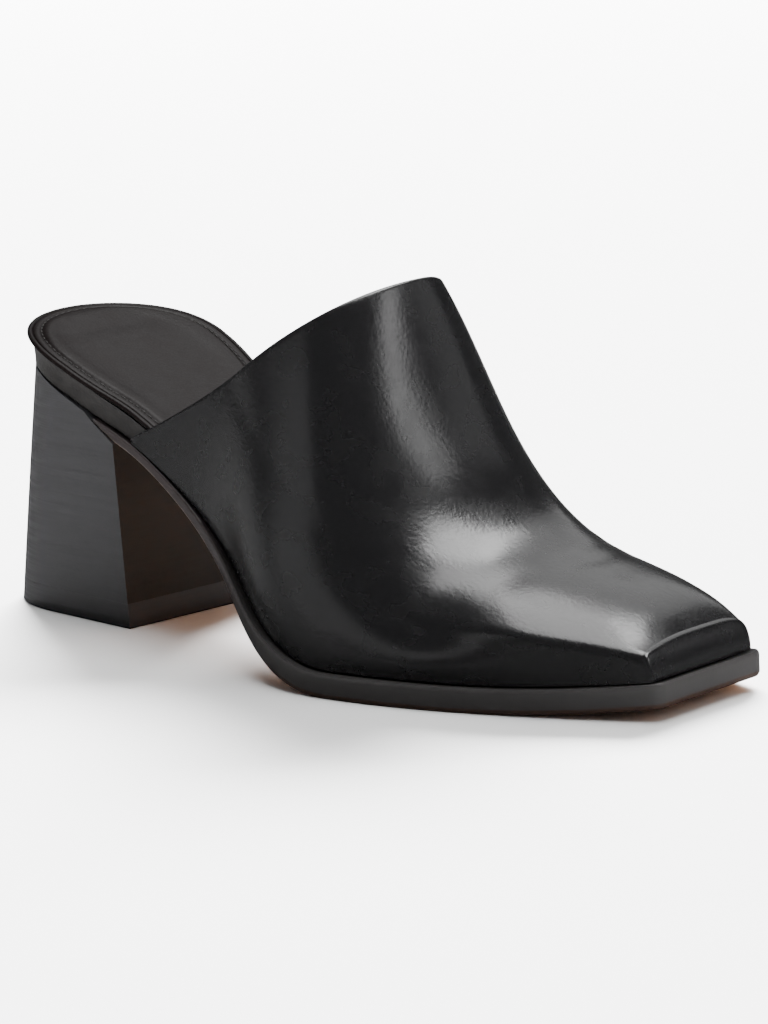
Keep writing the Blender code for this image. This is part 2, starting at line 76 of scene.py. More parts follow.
UPPER_WALL = 0.0018
VAMP_HEIGHT = 0.0890
TOE_HEIGHT = 0.0074
TOPLINE_RISE = 0.0012
TOPLINE_SAG = 0.0037
WALL_SWELL = 0.0011
TOE_SLANT = 0.0030
TOE_EDGE = 0.0012
SHOULDER_HEIGHT = 0.0056
SHOULDER_CLIMB = 0.21
SHOULDER_ROUND = 0.0018
SHOULDER_POWER = 2.2
SHOULDER_START = 0.74
SHOULDER_FULL = 0.90

BAND_HEIGHT = 0.0063
BAND_HOLLOW = 0.0005
INSOLE_FOREPART = 0.0026
LIP = 0.0010
SEAT_DISH = 0.0012

HEEL_TOP_SETBACK = 0.0036
HEEL_FOOT_OVERHANG = 0.0050
BREAST_TOP = 0.0535
BREAST_FOOT = 0.0572
HEEL_FOOT_WIDTH = 0.0592
HEEL_FOOT_ROUND = 2.6
HEEL_TOP_ROUND = 2.1
HEEL_BACK_DEPTH = 1.05
LIFT = 0.0065

# %% Tables of the outline, the underside, the insole and the sections


def table(columns, *rows):
    """Rows of numbers whose columns have names."""
    kind = namedtuple("Row", columns)
    return [kind(*row) for row in rows]


OUTLINE = table(
    "station outer inner",
    (0.130, 0.352, 0.352),
    (0.190, 0.345, 0.334),
    (0.250, 0.336, 0.300),
    (0.340, 0.346, 0.262),
    (0.420, 0.399, 0.258),
    (0.500, 0.499, 0.302),
    (0.585, 0.569, 0.380),
    (0.670, 0.547, 0.436),
    (0.750, 0.484, 0.455),
    (0.840, 0.380, 0.432),
    (0.920, 0.262, 0.386),
    (1.000, 0.136, 0.350),
)

UNDERSIDE = table(
    "station height",
    (0.000, 0.954),
    (0.100, 0.879),
    (0.200, 0.747),
    (0.250, 0.678),
    (0.300, 0.586),
    (0.400, 0.374),
    (0.500, 0.161),
    (0.580, 0.043),
    (0.645, 0.000),
)
TREAD_END = 0.780

INSOLE = table(
    "station fullness",
    (0.000, 0.93),
    (0.120, 1.02),
    (0.220, 1.02),
    (0.300, 1.00),
    (0.370, 0.90),
    (0.460, 0.50),
    (0.560, 0.08),
    (0.640, 0.00),
    (1.000, 0.00),
)

SECTIONS = table(
    "station crown ridge outer_round inner_round",
    (0.240, 1.420, 0.500, 2.20, 2.20),
    (0.340, 1.400, 0.520, 2.05, 2.15),
    (0.440, 1.340, 0.560, 1.90, 2.05),
    (0.520, 1.210, 0.610, 1.80, 2.00),
    (0.600, 1.000, 0.660, 1.70, 1.95),
    (0.650, 0.665, 0.670, 1.75, 2.00),
    (0.710, 0.380, 0.670, 1.85, 2.20),
    (0.770, 0.252, 0.650, 2.05, 2.50),
    (0.840, 0.192, 0.600, 2.50, 3.00),
    (0.910, 0.134, 0.540, 3.20, 3.90),
    (0.950, 0.074, 0.510, 4.40, 4.80),
    (0.980, 0.000, 0.500, 6.00, 6.00),
)
UPPER_START = 0.250
THROAT = 0.600
DRAWS_IN = (0.150, 0.250)  # stations between which the footbed narrows to enter the upper
PARED_WALL = 0.0007  # the upper's thickness at its rear corner
PARED_UNTIL = 0.360  # station from which it has its whole thickness
print("tables:", len(OUTLINE), "outline rows,", len(SECTIONS), "sections")

# %% [markdown]
# ## Smooth curves through a table
# A last has no corners along its length, and polished leather shows every kink as a broken
# highlight. So each column of a table becomes a cubic spline whose curvature is continuous. A
# straight interpolation would be shorter to write, but its facets would show.

# %% Curve helpers


class Curve:
    """A smooth curve through the rows of a table. An end slope that isn't given is left free."""

    def __init__(self, stations, values, end_slope=None):
        self.x = np.array(stations, float)
        self.y = np.array(values, float)
        step = np.diff(self.x)
        rise = np.diff(self.y) / step
        count = len(self.x)
        system = np.zeros((count, count))
        right = np.zeros(count)
        for i in range(1, count - 1):
            system[i, i - 1] = step[i]
            system[i, i] = 2 * (step[i - 1] + step[i])
            system[i, i + 1] = step[i - 1]
            right[i] = 3 * (step[i] * rise[i - 1] + step[i - 1] * rise[i])
        for row, beside, given, free in ((0, 1, None, rise[0]), (-1, -2, end_slope, rise[-1])):
            system[row, row] = 1 if given is not None else 2
            system[row, beside] = 0 if given is not None else 1
            right[row] = given if given is not None else 3 * free
        self.slope = np.linalg.solve(system, right)

    def __call__(self, x):
        x = min(max(x, self.x[0]), self.x[-1])
        i = min(int(np.searchsorted(self.x, x, side="right")) - 1, len(self.x) - 2)
        span = self.x[i + 1] - self.x[i]
        t = (x - self.x[i]) / span
        return float(
            self.y[i] * (1 + 2 * t) * (1 - t) ** 2
            + self.slope[i] * span * t * (1 - t) ** 2
            + self.y[i + 1] * t * t * (3 - 2 * t)
            + self.slope[i + 1] * span * t * t * (t - 1)
        )


def column(rows, name, **slopes):
    return Curve([row.station for row in rows], [getattr(row, name) for row in rows], **slopes)


def ease(x, start, end):
    """0 before start, 1 after end, and a smooth step between."""
    t = min(max((x - start) / (end - start), 0.0), 1.0)
    return t * t * (3 - 2 * t)


def mix(a, b, t):
    return a + (b - a) * t


OUTER, INNER = "outer", "inner"
SIDES = (OUTER, INNER)
HALF_WIDTH = {side: column(OUTLINE, side) for side in SIDES}
ROUND = {side: column(SECTIONS, side + "_round") for side in SIDES}
UNDERSIDE_SHARE = column(UNDERSIDE, "height", end_slope=0.0)
CROWN_SHARE = column(SECTIONS, "crown")
RIDGE_SHARE = column(SECTIONS, "ridge")
FULLNESS = column(INSOLE, "fullness")
SEAT_END = OUTLINE[0].station * LENGTH
BALL = 0.62  # station of the ball
ball_share = sum(HALF_WIDTH[side](BALL) for side in SIDES)
print("width at the ball, mm:", round(1000 * BALL_WIDTH * ball_share, 1))

# %% Heights and outlines of the shoe


def sole_thickness(x):
    if x < BREAST_TOP:
        along = (x - BREAST_TOP + TAIL_LENGTH) / TAIL_LENGTH
        return mix(SOLE_TAIL, SOLE_WAIST, max(along, 0.0))
    return mix(SOLE_WAIST, SOLE_FOREPART, ease(x, BREAST_TOP, OUTLINE[6].station * LENGTH))


def underside(x):
    """Height of the sole's underside x metres from the back. Its rear end thins from below."""
    tread_end = TREAD_END * LENGTH
    if x > tread_end:
        return TOE_SPRING * ((x - tread_end) / (LENGTH - tread_end)) ** 2
    taper = SOLE_WAIST - sole_thickness(x) if x < BREAST_TOP else 0.0
    return HEEL_HEIGHT * UNDERSIDE_SHARE(x / LENGTH) + taper


def sole_top(x):
    return underside(x) + sole_thickness(x)


def half_width(side, x):
    return BALL_WIDTH * HALF_WIDTH[side](x / LENGTH)


def outline_y(side, x, inset, back):
    """Half width of an outline that lies inset within the sole's, with a round end at back."""
    if x < SEAT_END:
        reach = min((SEAT_END - x) / (SEAT_END - back), 1.0)
        return (half_width(side, SEAT_END) - inset) * sqrt(1 - reach**2)
    step = 0.0005
    slope = (half_width(side, x + step) - half_width(side, x - step)) / (2 * step)
    y = half_width(side, x) - inset * sqrt(1 + slope**2)
    corner = OUTER_TOE_CORNER if side == OUTER else INNER_TOE_CORNER
    past = x - (LENGTH - inset - corner)
    if past > 0:
        y -= corner - sqrt(max(corner**2 - past**2, 0.0))
    return y


def placed(x, y, z):
    """A point in the model's frame, from x metres ahead of the back of the footbed."""
    across = (y + half_width(OUTER, LENGTH)) / (half_width(OUTER, LENGTH) + half_width(INNER, LENGTH))
    skew = TOE_SKEW * across * ease(x, SKEW_START * LENGTH, LENGTH)
    return (x - skew - HEEL_MIDDLE, y, z)


def welt(x):
    """Width of the ledge of sole outside the upper."""
    return mix(WELT_REAR, WELT, ease(x, UPPER_START * LENGTH, WELT_FULL * LENGTH))


def insole_bottom(x):
    return sole_top(x) + CLEARANCE


def insole_top(x):
    return insole_bottom(x) + mix(INSOLE_FOREPART, BAND_HEIGHT, FULLNESS(x / LENGTH))


# %% [markdown]
# ## Leather grain that several finishes share
# Every leather piece on the shoe has the same two effects, a fine grain and a soft cloudiness
# from polishing. Each effect is a shader node group, built once and placed in each material with
# its own values. The groups read Object coordinates, which are the model's own metres here, so
# the grain keeps its real size on every piece.

# %% Node helpers


def add_socket(group, name, way, kind="Float", value=None):
    """An input or output of a node group, of a kind such as Float, Geometry or Material."""
    socket = group.interface.new_socket(name=name, in_out=way, socket_type="NodeSocket" + kind)
    if value is not None:
        socket.default_value = value


def add_node(tree, kind, **settings):
    """A node with its properties and the values of its inputs, which are given by name."""
    node = tree.nodes.new(kind)
    for name, value in settings.items():
        if hasattr(node, name):
            setattr(node, name, value)
        else:
            node.inputs[name].default_value = value
    return node


def math_node(tree, operation, a, b=None):
    """A Math node whose inputs are sockets or numbers."""
    node = tree.nodes.new("ShaderNodeMath")
    node.operation = operation
    for socket, value in zip(node.inputs, (a, b)):
        if hasattr(value, "links"):
            tree.links.new(value, socket)
        elif value is not None:
            socket.default_value = value
    return node.outputs[0]


def remap(tree, value, low, high, to_low=0.0, to_high=1.0):
    """A value brought smoothly from one range to another."""
    node = add_node(tree, "ShaderNodeMapRange", interpolation_type="SMOOTHSTEP")
    tree.links.new(value, node.inputs["Value"])
    limits = {"From Min": low, "From Max": high, "To Min": to_low, "To Max": to_high}
    for name, number in limits.items():
        node.inputs[name].default_value = number
    return node.outputs["Result"]


def new_group(name, inputs, outputs):
    group = bpy.data.node_groups.new(name, "ShaderNodeTree")
    for label, value in inputs:
        add_socket(group, label, "INPUT", value=value)
    for label in outputs:
        add_socket(group, label, "OUTPUT")
    return group, group.nodes.new("NodeGroupInput"), group.nodes.new("NodeGroupOutput")


def stretched_coordinates(tree, scale):
    """Object coordinates, squeezed or stretched along each axis."""
    place = tree.nodes.new("ShaderNodeTexCoord")
    mapping = add_node(tree, "ShaderNodeMapping")
    mapping.inputs["Scale"].default_value = scale
    tree.links.new(place.outputs["Object"], mapping.inputs["Vector"])
    return mapping.outputs["Vector"]


# %% Grain and polish groups


def grain_group():
    """Fibres and unevenness of smooth calf: a height for a Bump node, and a mottle."""
    given_names = [("Size", 1.0), ("Fibre", 0.5), ("Uneven", 1.0)]
    group, given, out = new_group("leather_grain", given_names, ["Height", "Mottle"])
    along = stretched_coordinates(group, (0.7, 1.0, 1.0))
    fibres = add_node(group, "ShaderNodeTexNoise", Detail=2.0, Roughness=0.5)
    clouds = add_node(group, "ShaderNodeTexNoise", Detail=3.0, Roughness=0.5)
    hollows = add_node(group, "ShaderNodeTexNoise", Detail=2.0, Roughness=0.45)
    for node, scale in ((fibres, 1050.0), (clouds, 150.0), (hollows, 95.0)):
        group.links.new(along, node.inputs["Vector"])
        group.links.new(math_node(group, "DIVIDE", scale, given.outputs["Size"]), node.inputs["Scale"])
    threads = math_node(group, "MULTIPLY", fibres.outputs["Fac"], given.outputs["Fibre"])
    uneven = math_node(group, "MULTIPLY", hollows.outputs["Fac"], given.outputs["Uneven"])
    group.links.new(math_node(group, "ADD", threads, uneven), out.inputs["Height"])
    group.links.new(clouds.outputs["Fac"], out.inputs["Mottle"])
    return group


def rub_group():
    """Fine scuffs and dust that a finish picks up: a mask from 0 to 1."""
    group, given, out = new_group("light_rub", [("Amount", 0.3)], ["Mask"])
    scuffs = add_node(group, "ShaderNodeTexNoise", Scale=420.0, Detail=8.0, Roughness=0.7)
    patches = add_node(group, "ShaderNodeTexNoise", Scale=45.0, Detail=2.0)
    group.links.new(stretched_coordinates(group, (0.35, 1.0, 1.4)), scuffs.inputs["Vector"])
    group.links.new(stretched_coordinates(group, (1.0, 1.0, 1.0)), patches.inputs["Vector"])
    fine = remap(group, scuffs.outputs["Fac"], 0.40, 0.80)
    where = remap(group, patches.outputs["Fac"], 0.35, 0.75)
    both = math_node(group, "MULTIPLY", fine, where)
    group.links.new(math_node(group, "MULTIPLY", both, given.outputs["Amount"]), out.inputs["Mask"])
    return group


GRAIN = grain_group()
RUB = rub_group()
print("shared groups:", GRAIN.name, RUB.name)

# %% [markdown]
# ## Finishes
# Polished black leather is a near-black base under a thin glossy coat. What makes it look like
# leather is that the gloss isn't even: the grain breaks the edges of a highlight, and the polish
# lies in clouds. So each finish mixes two close colours and two roughnesses by the shared masks,
# and feeds the grain to a Bump node.

# %% Leather finishes
GRAIN_DEPTH = 0.00025
COAT_ROUGHNESS = 0.20


def blank_material(name):
    made = bpy.data.materials.new(name)
    made.use_nodes = True
    return made, made.node_tree, made.node_tree.nodes["Principled BSDF"]


def place_group(tree, group, **values):
    node = tree.nodes.new("ShaderNodeGroup")
    node.node_tree = group
    for name, value in values.items():
        node.inputs[name].default_value = value
    return node


def two_colours(tree, mask, first, second):
    """A colour that goes from the first to the second with a mask."""
    node = add_node(tree, "ShaderNodeMix", data_type="RGBA")
    tree.links.new(mask, node.inputs["Factor"])
    for label, colour in (("A", first), ("B", second)):
        socket = next(s for s in node.inputs if s.name == label and s.type == "RGBA")
        socket.default_value = (*colour, 1.0)
    return next(s for s in node.outputs if s.type == "RGBA")


def dress(tree, shader, colour, roughness, height, strength, distance):
    """Feeds a shader its colour, its roughness and a bump of the given strength."""
    node = add_node(tree, "ShaderNodeBump", Strength=strength, Distance=distance)
    tree.links.new(height, node.inputs["Height"])
    feeds = (("Base Color", colour), ("Roughness", roughness), ("Normal", node.outputs["Normal"]))
    for label, socket in feeds:
        tree.links.new(socket, shader.inputs[label])


def leather(
    name, dark, light, smooth, rough, grain_size, fibre, strength,
    uneven=1.0, coat=0.0, rub=0.1, sheen=0.5,
):
    """Smooth leather: two close colours, two roughnesses, a grain, and a coat of polish."""
    made, tree, shader = blank_material(name)
    grain = place_group(tree, GRAIN, Size=grain_size, Fibre=fibre, Uneven=uneven)
    rubbed = place_group(tree, RUB, Amount=rub)
    mottle = grain.outputs["Mottle"]
    colour = two_colours(tree, remap(tree, mottle, 0.35, 0.65), dark, light)
    cloudy = remap(tree, mottle, 0.30, 0.70, smooth, rough)
    roughness = math_node(tree, "ADD", cloudy, rubbed.outputs["Mask"])
    dress(tree, shader, colour, roughness, grain.outputs["Height"], strength, GRAIN_DEPTH)
    shader.inputs["Coat Weight"].default_value = coat
    shader.inputs["Coat Roughness"].default_value = COAT_ROUGHNESS
    shader.inputs["Specular IOR Level"].default_value = sheen
    return made


POLISHED = leather(
    "polished_black_leather", (0.0050, 0.0049, 0.0054), (0.0053, 0.0052, 0.0057), 0.22, 0.29,
    grain_size=1.0, fibre=0.7, strength=0.34, uneven=1.7, coat=0.25, rub=0.0,
)
LINING = leather(
    "black_lining_leather", (0.006, 0.006, 0.006), (0.012, 0.011, 0.011), 0.48, 0.58,
    grain_size=0.8, fibre=0.6, strength=0.3,
)
WRAPPED = leather(
    "wrapped_band_leather", (0.0125, 0.0110, 0.0105), (0.0190, 0.0170, 0.0160), 0.34, 0.44,
    grain_size=0.8, fibre=0.8, strength=0.35, coat=0.1,
)
SOCK_FINISH = leather(
    "footbed_leather", (0.0048, 0.0028, 0.0027), (0.0064, 0.0040, 0.0038), 0.36, 0.44,
    grain_size=0.9, fibre=0.8, strength=0.35, sheen=0.14,
)
THREAD = leather(
    "dark_thread", (0.006, 0.0048, 0.0044), (0.014, 0.0115, 0.0105), 0.55, 0.65,
    grain_size=0.3, fibre=1.0, strength=0.6,
)
print("leather finishes:", POLISHED.name, LINING.name, WRAPPED.name, SOCK_FINISH.name)

# %% Sole and heel finishes
WAIST_INK_ENDS = 0.045  # x at which the ink starts to change
FOREPART_INK_STARTS = 0.105  # x at which it has changed
LAYER_DEPTH = 0.0003
SOLE_GRAIN_DEPTH = 0.0002


def place_along(tree):
    """How far ahead of the model's origin the shaded point is, in metres."""
    place = tree.nodes.new("ShaderNodeTexCoord")
    parts = tree.nodes.new("ShaderNodeSeparateXYZ")
    tree.links.new(place.outputs["Object"], parts.inputs["Vector"])
    return parts.outputs["X"]


def sole_edge(name, waist, forepart):
    """The inked edge of the sole: its own colour in the waist, and another round the toe."""
    made, tree, shader = blank_material(name)
    grain = place_group(tree, GRAIN, Size=0.7, Fibre=0.8)
    ink = remap(tree, place_along(tree), WAIST_INK_ENDS, FOREPART_INK_STARTS)
    colour = two_colours(tree, ink, waist, forepart)
    roughness = remap(tree, grain.outputs["Mottle"], 0.3, 0.7, 0.29, 0.37)
    dress(tree, shader, colour, roughness, grain.outputs["Height"], 0.10, SOLE_GRAIN_DEPTH)
    return made


def sole_bottom():
    """The tan underside, with faint scuffs along its length."""
    made, tree, shader = blank_material("tan_sole_underside")
    grain = place_group(tree, GRAIN, Size=1.4, Fibre=0.8)
    rubbed = place_group(tree, RUB, Amount=0.8)
    worn = math_node(tree, "ADD", grain.outputs["Mottle"], rubbed.outputs["Mask"])
    share = remap(tree, worn, 0.3, 1.1)
    colour = two_colours(tree, share, (0.36, 0.17, 0.075), (0.24, 0.105, 0.048))
    roughness = remap(tree, worn, 0.3, 1.1, 0.42, 0.6)
    dress(tree, shader, colour, roughness, grain.outputs["Height"], 0.25, SOLE_GRAIN_DEPTH)
    return made


def stacked_layers(name, dark, light, layer, smooth, rough):
    """Thin boards glued on each other and inked: level lines, each layer of its own shade."""
    made, tree, shader = blank_material(name)
    lines = add_node(tree, "ShaderNodeTexNoise", Scale=1.0, Detail=3.0, Roughness=0.55)
    tree.links.new(stretched_coordinates(tree, (9.0, 9.0, 1.0 / layer)), lines.inputs["Vector"])
    streaks = add_node(tree, "ShaderNodeTexNoise", Scale=1.0, Detail=5.0, Roughness=0.6)
    tree.links.new(stretched_coordinates(tree, (60.0, 60.0, 3.2 / layer)), streaks.inputs["Vector"])
    faint = math_node(tree, "MULTIPLY", streaks.outputs["Fac"], 0.5)
    both = math_node(tree, "ADD", lines.outputs["Fac"], faint)
    shade = remap(tree, both, 0.55, 0.95)
    rubbed = place_group(tree, RUB, Amount=0.15)
    gloss = remap(tree, shade, 0.0, 1.0, smooth, rough)
    roughness = math_node(tree, "ADD", gloss, rubbed.outputs["Mask"])
    dress(tree, shader, two_colours(tree, shade, dark, light), roughness, both, 0.25, LAYER_DEPTH)
    return made


def rubber():
    """The moulded tread of the heel, black with a dull, slightly dusty surface."""
    made, tree, shader = blank_material("black_lift_rubber")
    grain = place_group(tree, GRAIN, Size=0.5, Fibre=1.0)
    rubbed = place_group(tree, RUB, Amount=1.0)
    black, dusty = (0.007, 0.0065, 0.0065), (0.025, 0.023, 0.022)
    colour = two_colours(tree, rubbed.outputs["Mask"], black, dusty)
    roughness = remap(tree, grain.outputs["Mottle"], 0.3, 0.7, 0.42, 0.55)
    dress(tree, shader, colour, roughness, grain.outputs["Height"], 0.15, SOLE_GRAIN_DEPTH)
    return made


SOLE_EDGE = sole_edge("inked_sole_edge", (0.0215, 0.0160, 0.0160), (0.0300, 0.0282, 0.0282))
LOWER_CORNER = sole_edge("thin_ink_of_the_lower_corner", (0.075, 0.060, 0.052), (0.032, 0.018, 0.013))
SOLE_BOTTOM = sole_bottom()
HEEL_STACK = stacked_layers(
    "stacked_heel", (0.0225, 0.0220, 0.0240), (0.0272, 0.0267, 0.0290), 0.0011, 0.34, 0.44
)
# The breast gets a darker copy of the stacked finish, with its own layers: the darkness is painted
# shade, for the front of the heel lies under the arch.
PAINTED_BREAST_SHADE = stacked_layers(
    "heel_breast_painted_shade", (0.0062, 0.0044, 0.0037), (0.0110, 0.0077, 0.0064), 0.0013, 0.44, 0.56
)
RUBBER = rubber()
print("sole finishes:", SOLE_EDGE.name, SOLE_BOTTOM.name)
print("heel finishes:", HEEL_STACK.name, PAINTED_BREAST_SHADE.name, RUBBER.name)

# %% [markdown]
# ## Pieces that are stacked from loops
# The sole, the footbed and the heel are all layers with the same kind of outline. Each is built
# as rings of points, laid on each other from the bottom to the top, with a skin between them. A
# ring runs up the outer side from back to front and comes back down the inner side, so the two
# ends of a cross section are easy to find, and the top can be closed with a fine grid.

# %% Ring helpers
SEAT_STEPS = 30
OUTLINE_STEPS = 150
TOE_STEPS = 16
TIP_START = 0.90  # station from which the stations crowd towards the toe
TOP_COLUMNS = 18


def stations(back, front):
    """Stations of a piece, closer together at a round back and at the corners of the toe."""
    toe = TIP_START * LENGTH
    seat = [back + (SEAT_END - back) * (1 - cos(i / SEAT_STEPS * pi / 2)) for i in range(1, SEAT_STEPS)]
    middle = [SEAT_END + (toe - SEAT_END) * i / OUTLINE_STEPS for i in range(OUTLINE_STEPS)]
    middle = sorted(middle + [BREAST_TOP])
    tip = [toe + (front - toe) * sin(i / TOE_STEPS * pi / 2) for i in range(TOE_STEPS + 1)]
    if back > SEAT_END:
        return [back] + [x for x in middle if x > back] + tip
    return seat + middle + tip


def ring(xs, outer, inner, height):
    """A closed loop of points: up the outer side from back to front, then down the inner side."""
    loop = [placed(x, -outer(x), height(x)) for x in xs]
    loop += [placed(x, inner(x), height(x)) for x in reversed(xs)]
    return loop


def in_scene(name, data):
    """A new object with its data, linked to the scene."""
    thing = bpy.data.objects.new(name, data)
    bpy.context.scene.collection.objects.link(thing)
    return thing


def add_piece(name, shape, finishes, sharp=40):
    """A finished mesh at the origin, smooth but for its sharp edges, with its materials."""
    mesh = bpy.data.meshes.new(name)
    shape.to_mesh(mesh)
    shape.free()
    for finish in finishes:
        mesh.materials.append(finish)
    mesh.shade_smooth()
    mesh.set_sharp_from_angle(angle=radians(sharp))
    print(name, len(mesh.vertices), "points", len(mesh.polygons), "faces")
    return in_scene(name, mesh)


def stacked_piece(name, rings, finishes, bands=None, bottom=0, top=0, hollow=None, sharp=40):
    """Rings laid on each other and closed. Bands, bottom and top give each skin its material, and
    hollow lowers the points of the top by x and by their place across, from 0 to 1."""
    count = len(rings[0])
    half = count // 2
    shape = bmesh.new()
    rows = [[shape.verts.new(point) for point in loop] for loop in rings]
    edge = [Vector(point) for point in rings[-1]]

    def lowered(i, k):
        share = k / TOP_COLUMNS
        point = edge[i].lerp(edge[count - 1 - i], share)
        if hollow:
            point.z -= hollow(point.x + HEEL_MIDDLE, share)
        return shape.verts.new(point)

    lines = []
    for i in range(half):
        between = [lowered(i, k) for k in range(1, TOP_COLUMNS)]
        lines.append([rows[-1][i]] + between + [rows[-1][count - 1 - i]])
    for n, (low, high) in enumerate(zip(rows, rows[1:])):
        last = n == len(rows) - 2
        for i in range(count):
            j = (i + 1) % count
            corners = [low[i], high[i], high[j], low[j]]
            if last and j == 0:
                corners = [low[i]] + lines[0][::-1] + [low[j]]
            if last and i == half - 1:
                corners = [low[i]] + lines[-1] + [low[j]]
            face = shape.faces.new(corners)
            face.material_index = bands[n] if bands else 0
    for i in range(half - 1):
        face = shape.faces.new([rows[0][k] for k in (i, i + 1, count - 2 - i, count - 1 - i)])
        face.material_index = bottom
        for k in range(TOP_COLUMNS):
            face = shape.faces.new((lines[i][k], lines[i][k + 1], lines[i + 1][k + 1], lines[i + 1][k]))
            face.material_index = top
    bmesh.ops.recalc_face_normals(shape, faces=shape.faces)
    return add_piece(name, shape, finishes, sharp)


def finish_piece(piece, node):
    """The piece stands for a CAD node, and rides on the shoe's only body."""
    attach(piece, "root")
    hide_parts(node)


# %% [markdown]
# ## The sole
# The real sole is one thin moulding with an inked edge. Seen from the side it has a rounded top
# corner, a flat edge and a rounded lower corner, and on top a narrow ledge runs round the upper.
# A groove lies where the upper meets the ledge, and it reads as a thin dark line in the photo. A
# profile table gives the place of each ring, so each corner gets three or four rings.

# %% Outsole
# Inset in mm, share of the thickness, and which finish the band below the ring gets
SOLE_PROFILE = table(
    "inset share band",
    (1.20, 0.00, 0),
    (0.60, 0.00, 0),
    (0.25, 0.04, 2),
    (0.06, 0.11, 2),
    (0.00, 0.20, 2),
    (0.04, 0.50, 1),
    (0.00, 0.80, 1),
    (0.07, 0.90, 1),
    (0.25, 0.97, 1),
    (0.55, 1.00, 1),
)
# Share of the welt, and drop in mm
LEDGE_PROFILE = ((0.70, 0.0), (0.84, 0.35), (1.10, 0.45), (1.60, 0.45))
FLAT_INSET = 0.7  # share of their inset that the rings of the flat faces keep
LEAST_LEDGE = 0.0005
DEEPEST_GROOVE = 0.2  # share of the sole's thickness


def outsole():
    back = BREAST_TOP - TAIL_LENGTH

    def loop(inset, height):
        def edge(side):
            return lambda x: outline_y(side, x, inset(x), inset(x))

        return ring(stations(back, LENGTH - inset(LENGTH)), edge(OUTER), edge(INNER), height)

    def profile_ring(row):
        inset = row.inset / 1000 * (FLAT_INSET if row.share in (0.0, 1.0) else 1.0)
        return loop(lambda x: inset, lambda x: underside(x) + sole_thickness(x) * row.share)

    def ledge_ring(share, drop):
        return loop(
            lambda x: max(welt(x) * share, LEAST_LEDGE),
            lambda x: sole_top(x) - min(drop / 1000, DEEPEST_GROOVE * sole_thickness(x)),
        )

    rings = [profile_ring(row) for row in SOLE_PROFILE]
    rings += [ledge_ring(*row) for row in LEDGE_PROFILE]
    bands = [row.band for row in SOLE_PROFILE[1:]] + [1] * len(LEDGE_PROFILE)
    finishes = [SOLE_BOTTOM, SOLE_EDGE, LOWER_CORNER]
    return stacked_piece("outsole_skin", rings, finishes, bands, bottom=0, top=1)


sole_piece = outsole()
finish_piece(sole_piece, "outsole")

# %% [markdown]
# ## The footbed
# Under the heel of the foot the insole board is thick and wrapped in leather, slightly hollow in
# its height. On top lies a leather covering whose edge rolls over the board. Behind the roll runs
# a groove, then a flat strip, then a stitched channel, and inside that the leather is padded and
# pressed down where the heel of the foot stands.

# %% Wrapped board
BAND_RINGS = 12
BAND_ROUND = 0.0004  # how far the band's lower edge is rounded in


def wall_at(x):
    """Thickness of the upper: pared thin at its rear corner, where it is glued over the footbed."""
    return mix(PARED_WALL, UPPER_WALL, ease(x, UPPER_START * LENGTH, PARED_UNTIL * LENGTH))


def footbed_ring(back, inset, height, spare=0.0):
    """A loop at a footbed's level, drawn in to fit the upper. Spare is room that it already leaves."""
    front = LENGTH - welt(LENGTH) - UPPER_WALL - TOE_SLANT - 2 * CLEARANCE

    def edge(side):
        def reach(x):
            room = max(welt(x) + wall_at(x) + CLEARANCE - spare, 0.0)
            drawn = room * ease(x, DRAWS_IN[0] * LENGTH, DRAWS_IN[1] * LENGTH)
            return outline_y(side, x, inset + drawn, back)

        return reach

    return ring(stations(back, front - inset), edge(OUTER), edge(INNER), height)


def wrapped_board():
    rings = []
    for i in range(BAND_RINGS + 1):
        share = i / BAND_RINGS
        rounded = BAND_ROUND * (1 - sin(pi * min(share + 0.06, 0.5)))
        inset = LIP + BAND_HOLLOW * sin(pi * share) + rounded
        back = mix(HEEL_TOP_SETBACK - LIP, inset, ease(share, 0.0, 0.8))

        def level(x, share=share):
            return mix(insole_bottom(x), insole_top(x), share)

        rings.append(footbed_ring(back, inset, level, spare=LIP))
    return stacked_piece("insole_band", rings, [WRAPPED])


board_piece = wrapped_board()
finish_piece(board_piece, "insole")

# %% Covering with its rolled edge, groove and stitch channel
COVER_PROFILE = table(
    "inset rise",  # in mm, from the edge and above the board
    (4.50, 0.30),
    (1.30, 0.30),
    (0.60, 0.26),
    (0.22, 0.38),
    (0.03, 0.62),
    (0.00, 0.92),
    (0.08, 1.22),
    (0.32, 1.50),
    (0.70, 1.68),
    (1.10, 1.66),
    (1.38, 1.48),
    (1.55, 1.22),
    (1.72, 1.48),
    (2.10, 1.66),
    (2.90, 1.70),
    (3.40, 1.62),
    (3.70, 1.36),
    (3.95, 1.24),
    (4.20, 1.36),
    (4.60, 1.72),
    (5.30, 1.98),
    (6.40, 2.02),
)
STITCH_INSET = 0.00395
STITCH_RISE = 0.00136
HOLLOW_START = 0.0075  # from the back of the footbed to the rim of the hollow
HOLLOW_SLOPE = 0.011  # how far ahead of its rim the hollow has its whole depth
HOLLOW_FADES = (0.15, 0.40)  # stations between which it runs out towards the toe
HOLLOW_DEPTH = 1.25 * SEAT_DISH
HOLLOW_SIDE_POWER = 5  # a high power keeps the hollow flat across and steep at its sides


def heel_hollow(x, across):
    """How far the heel of the foot has pressed the covering down."""
    near, far = HOLLOW_FADES
    along = ease(x, HOLLOW_START, HOLLOW_START + HOLLOW_SLOPE)
    fading = 1 - ease(x, near * LENGTH, far * LENGTH)
    side = 1 - abs(2 * across - 1) ** HOLLOW_SIDE_POWER
    return HOLLOW_DEPTH * along * fading * side


def covering():
    rings = []
    for row in COVER_PROFILE:
        inset = row.inset / 1000

        def level(x, rise=row.rise / 1000):
            return insole_top(x) + rise

        rings.append(footbed_ring(inset, inset, level))
    return stacked_piece("sock_cover", rings, [SOCK_FINISH], hollow=heel_hollow, sharp=75)


cover_piece = covering()
finish_piece(cover_piece, "sock_lining")

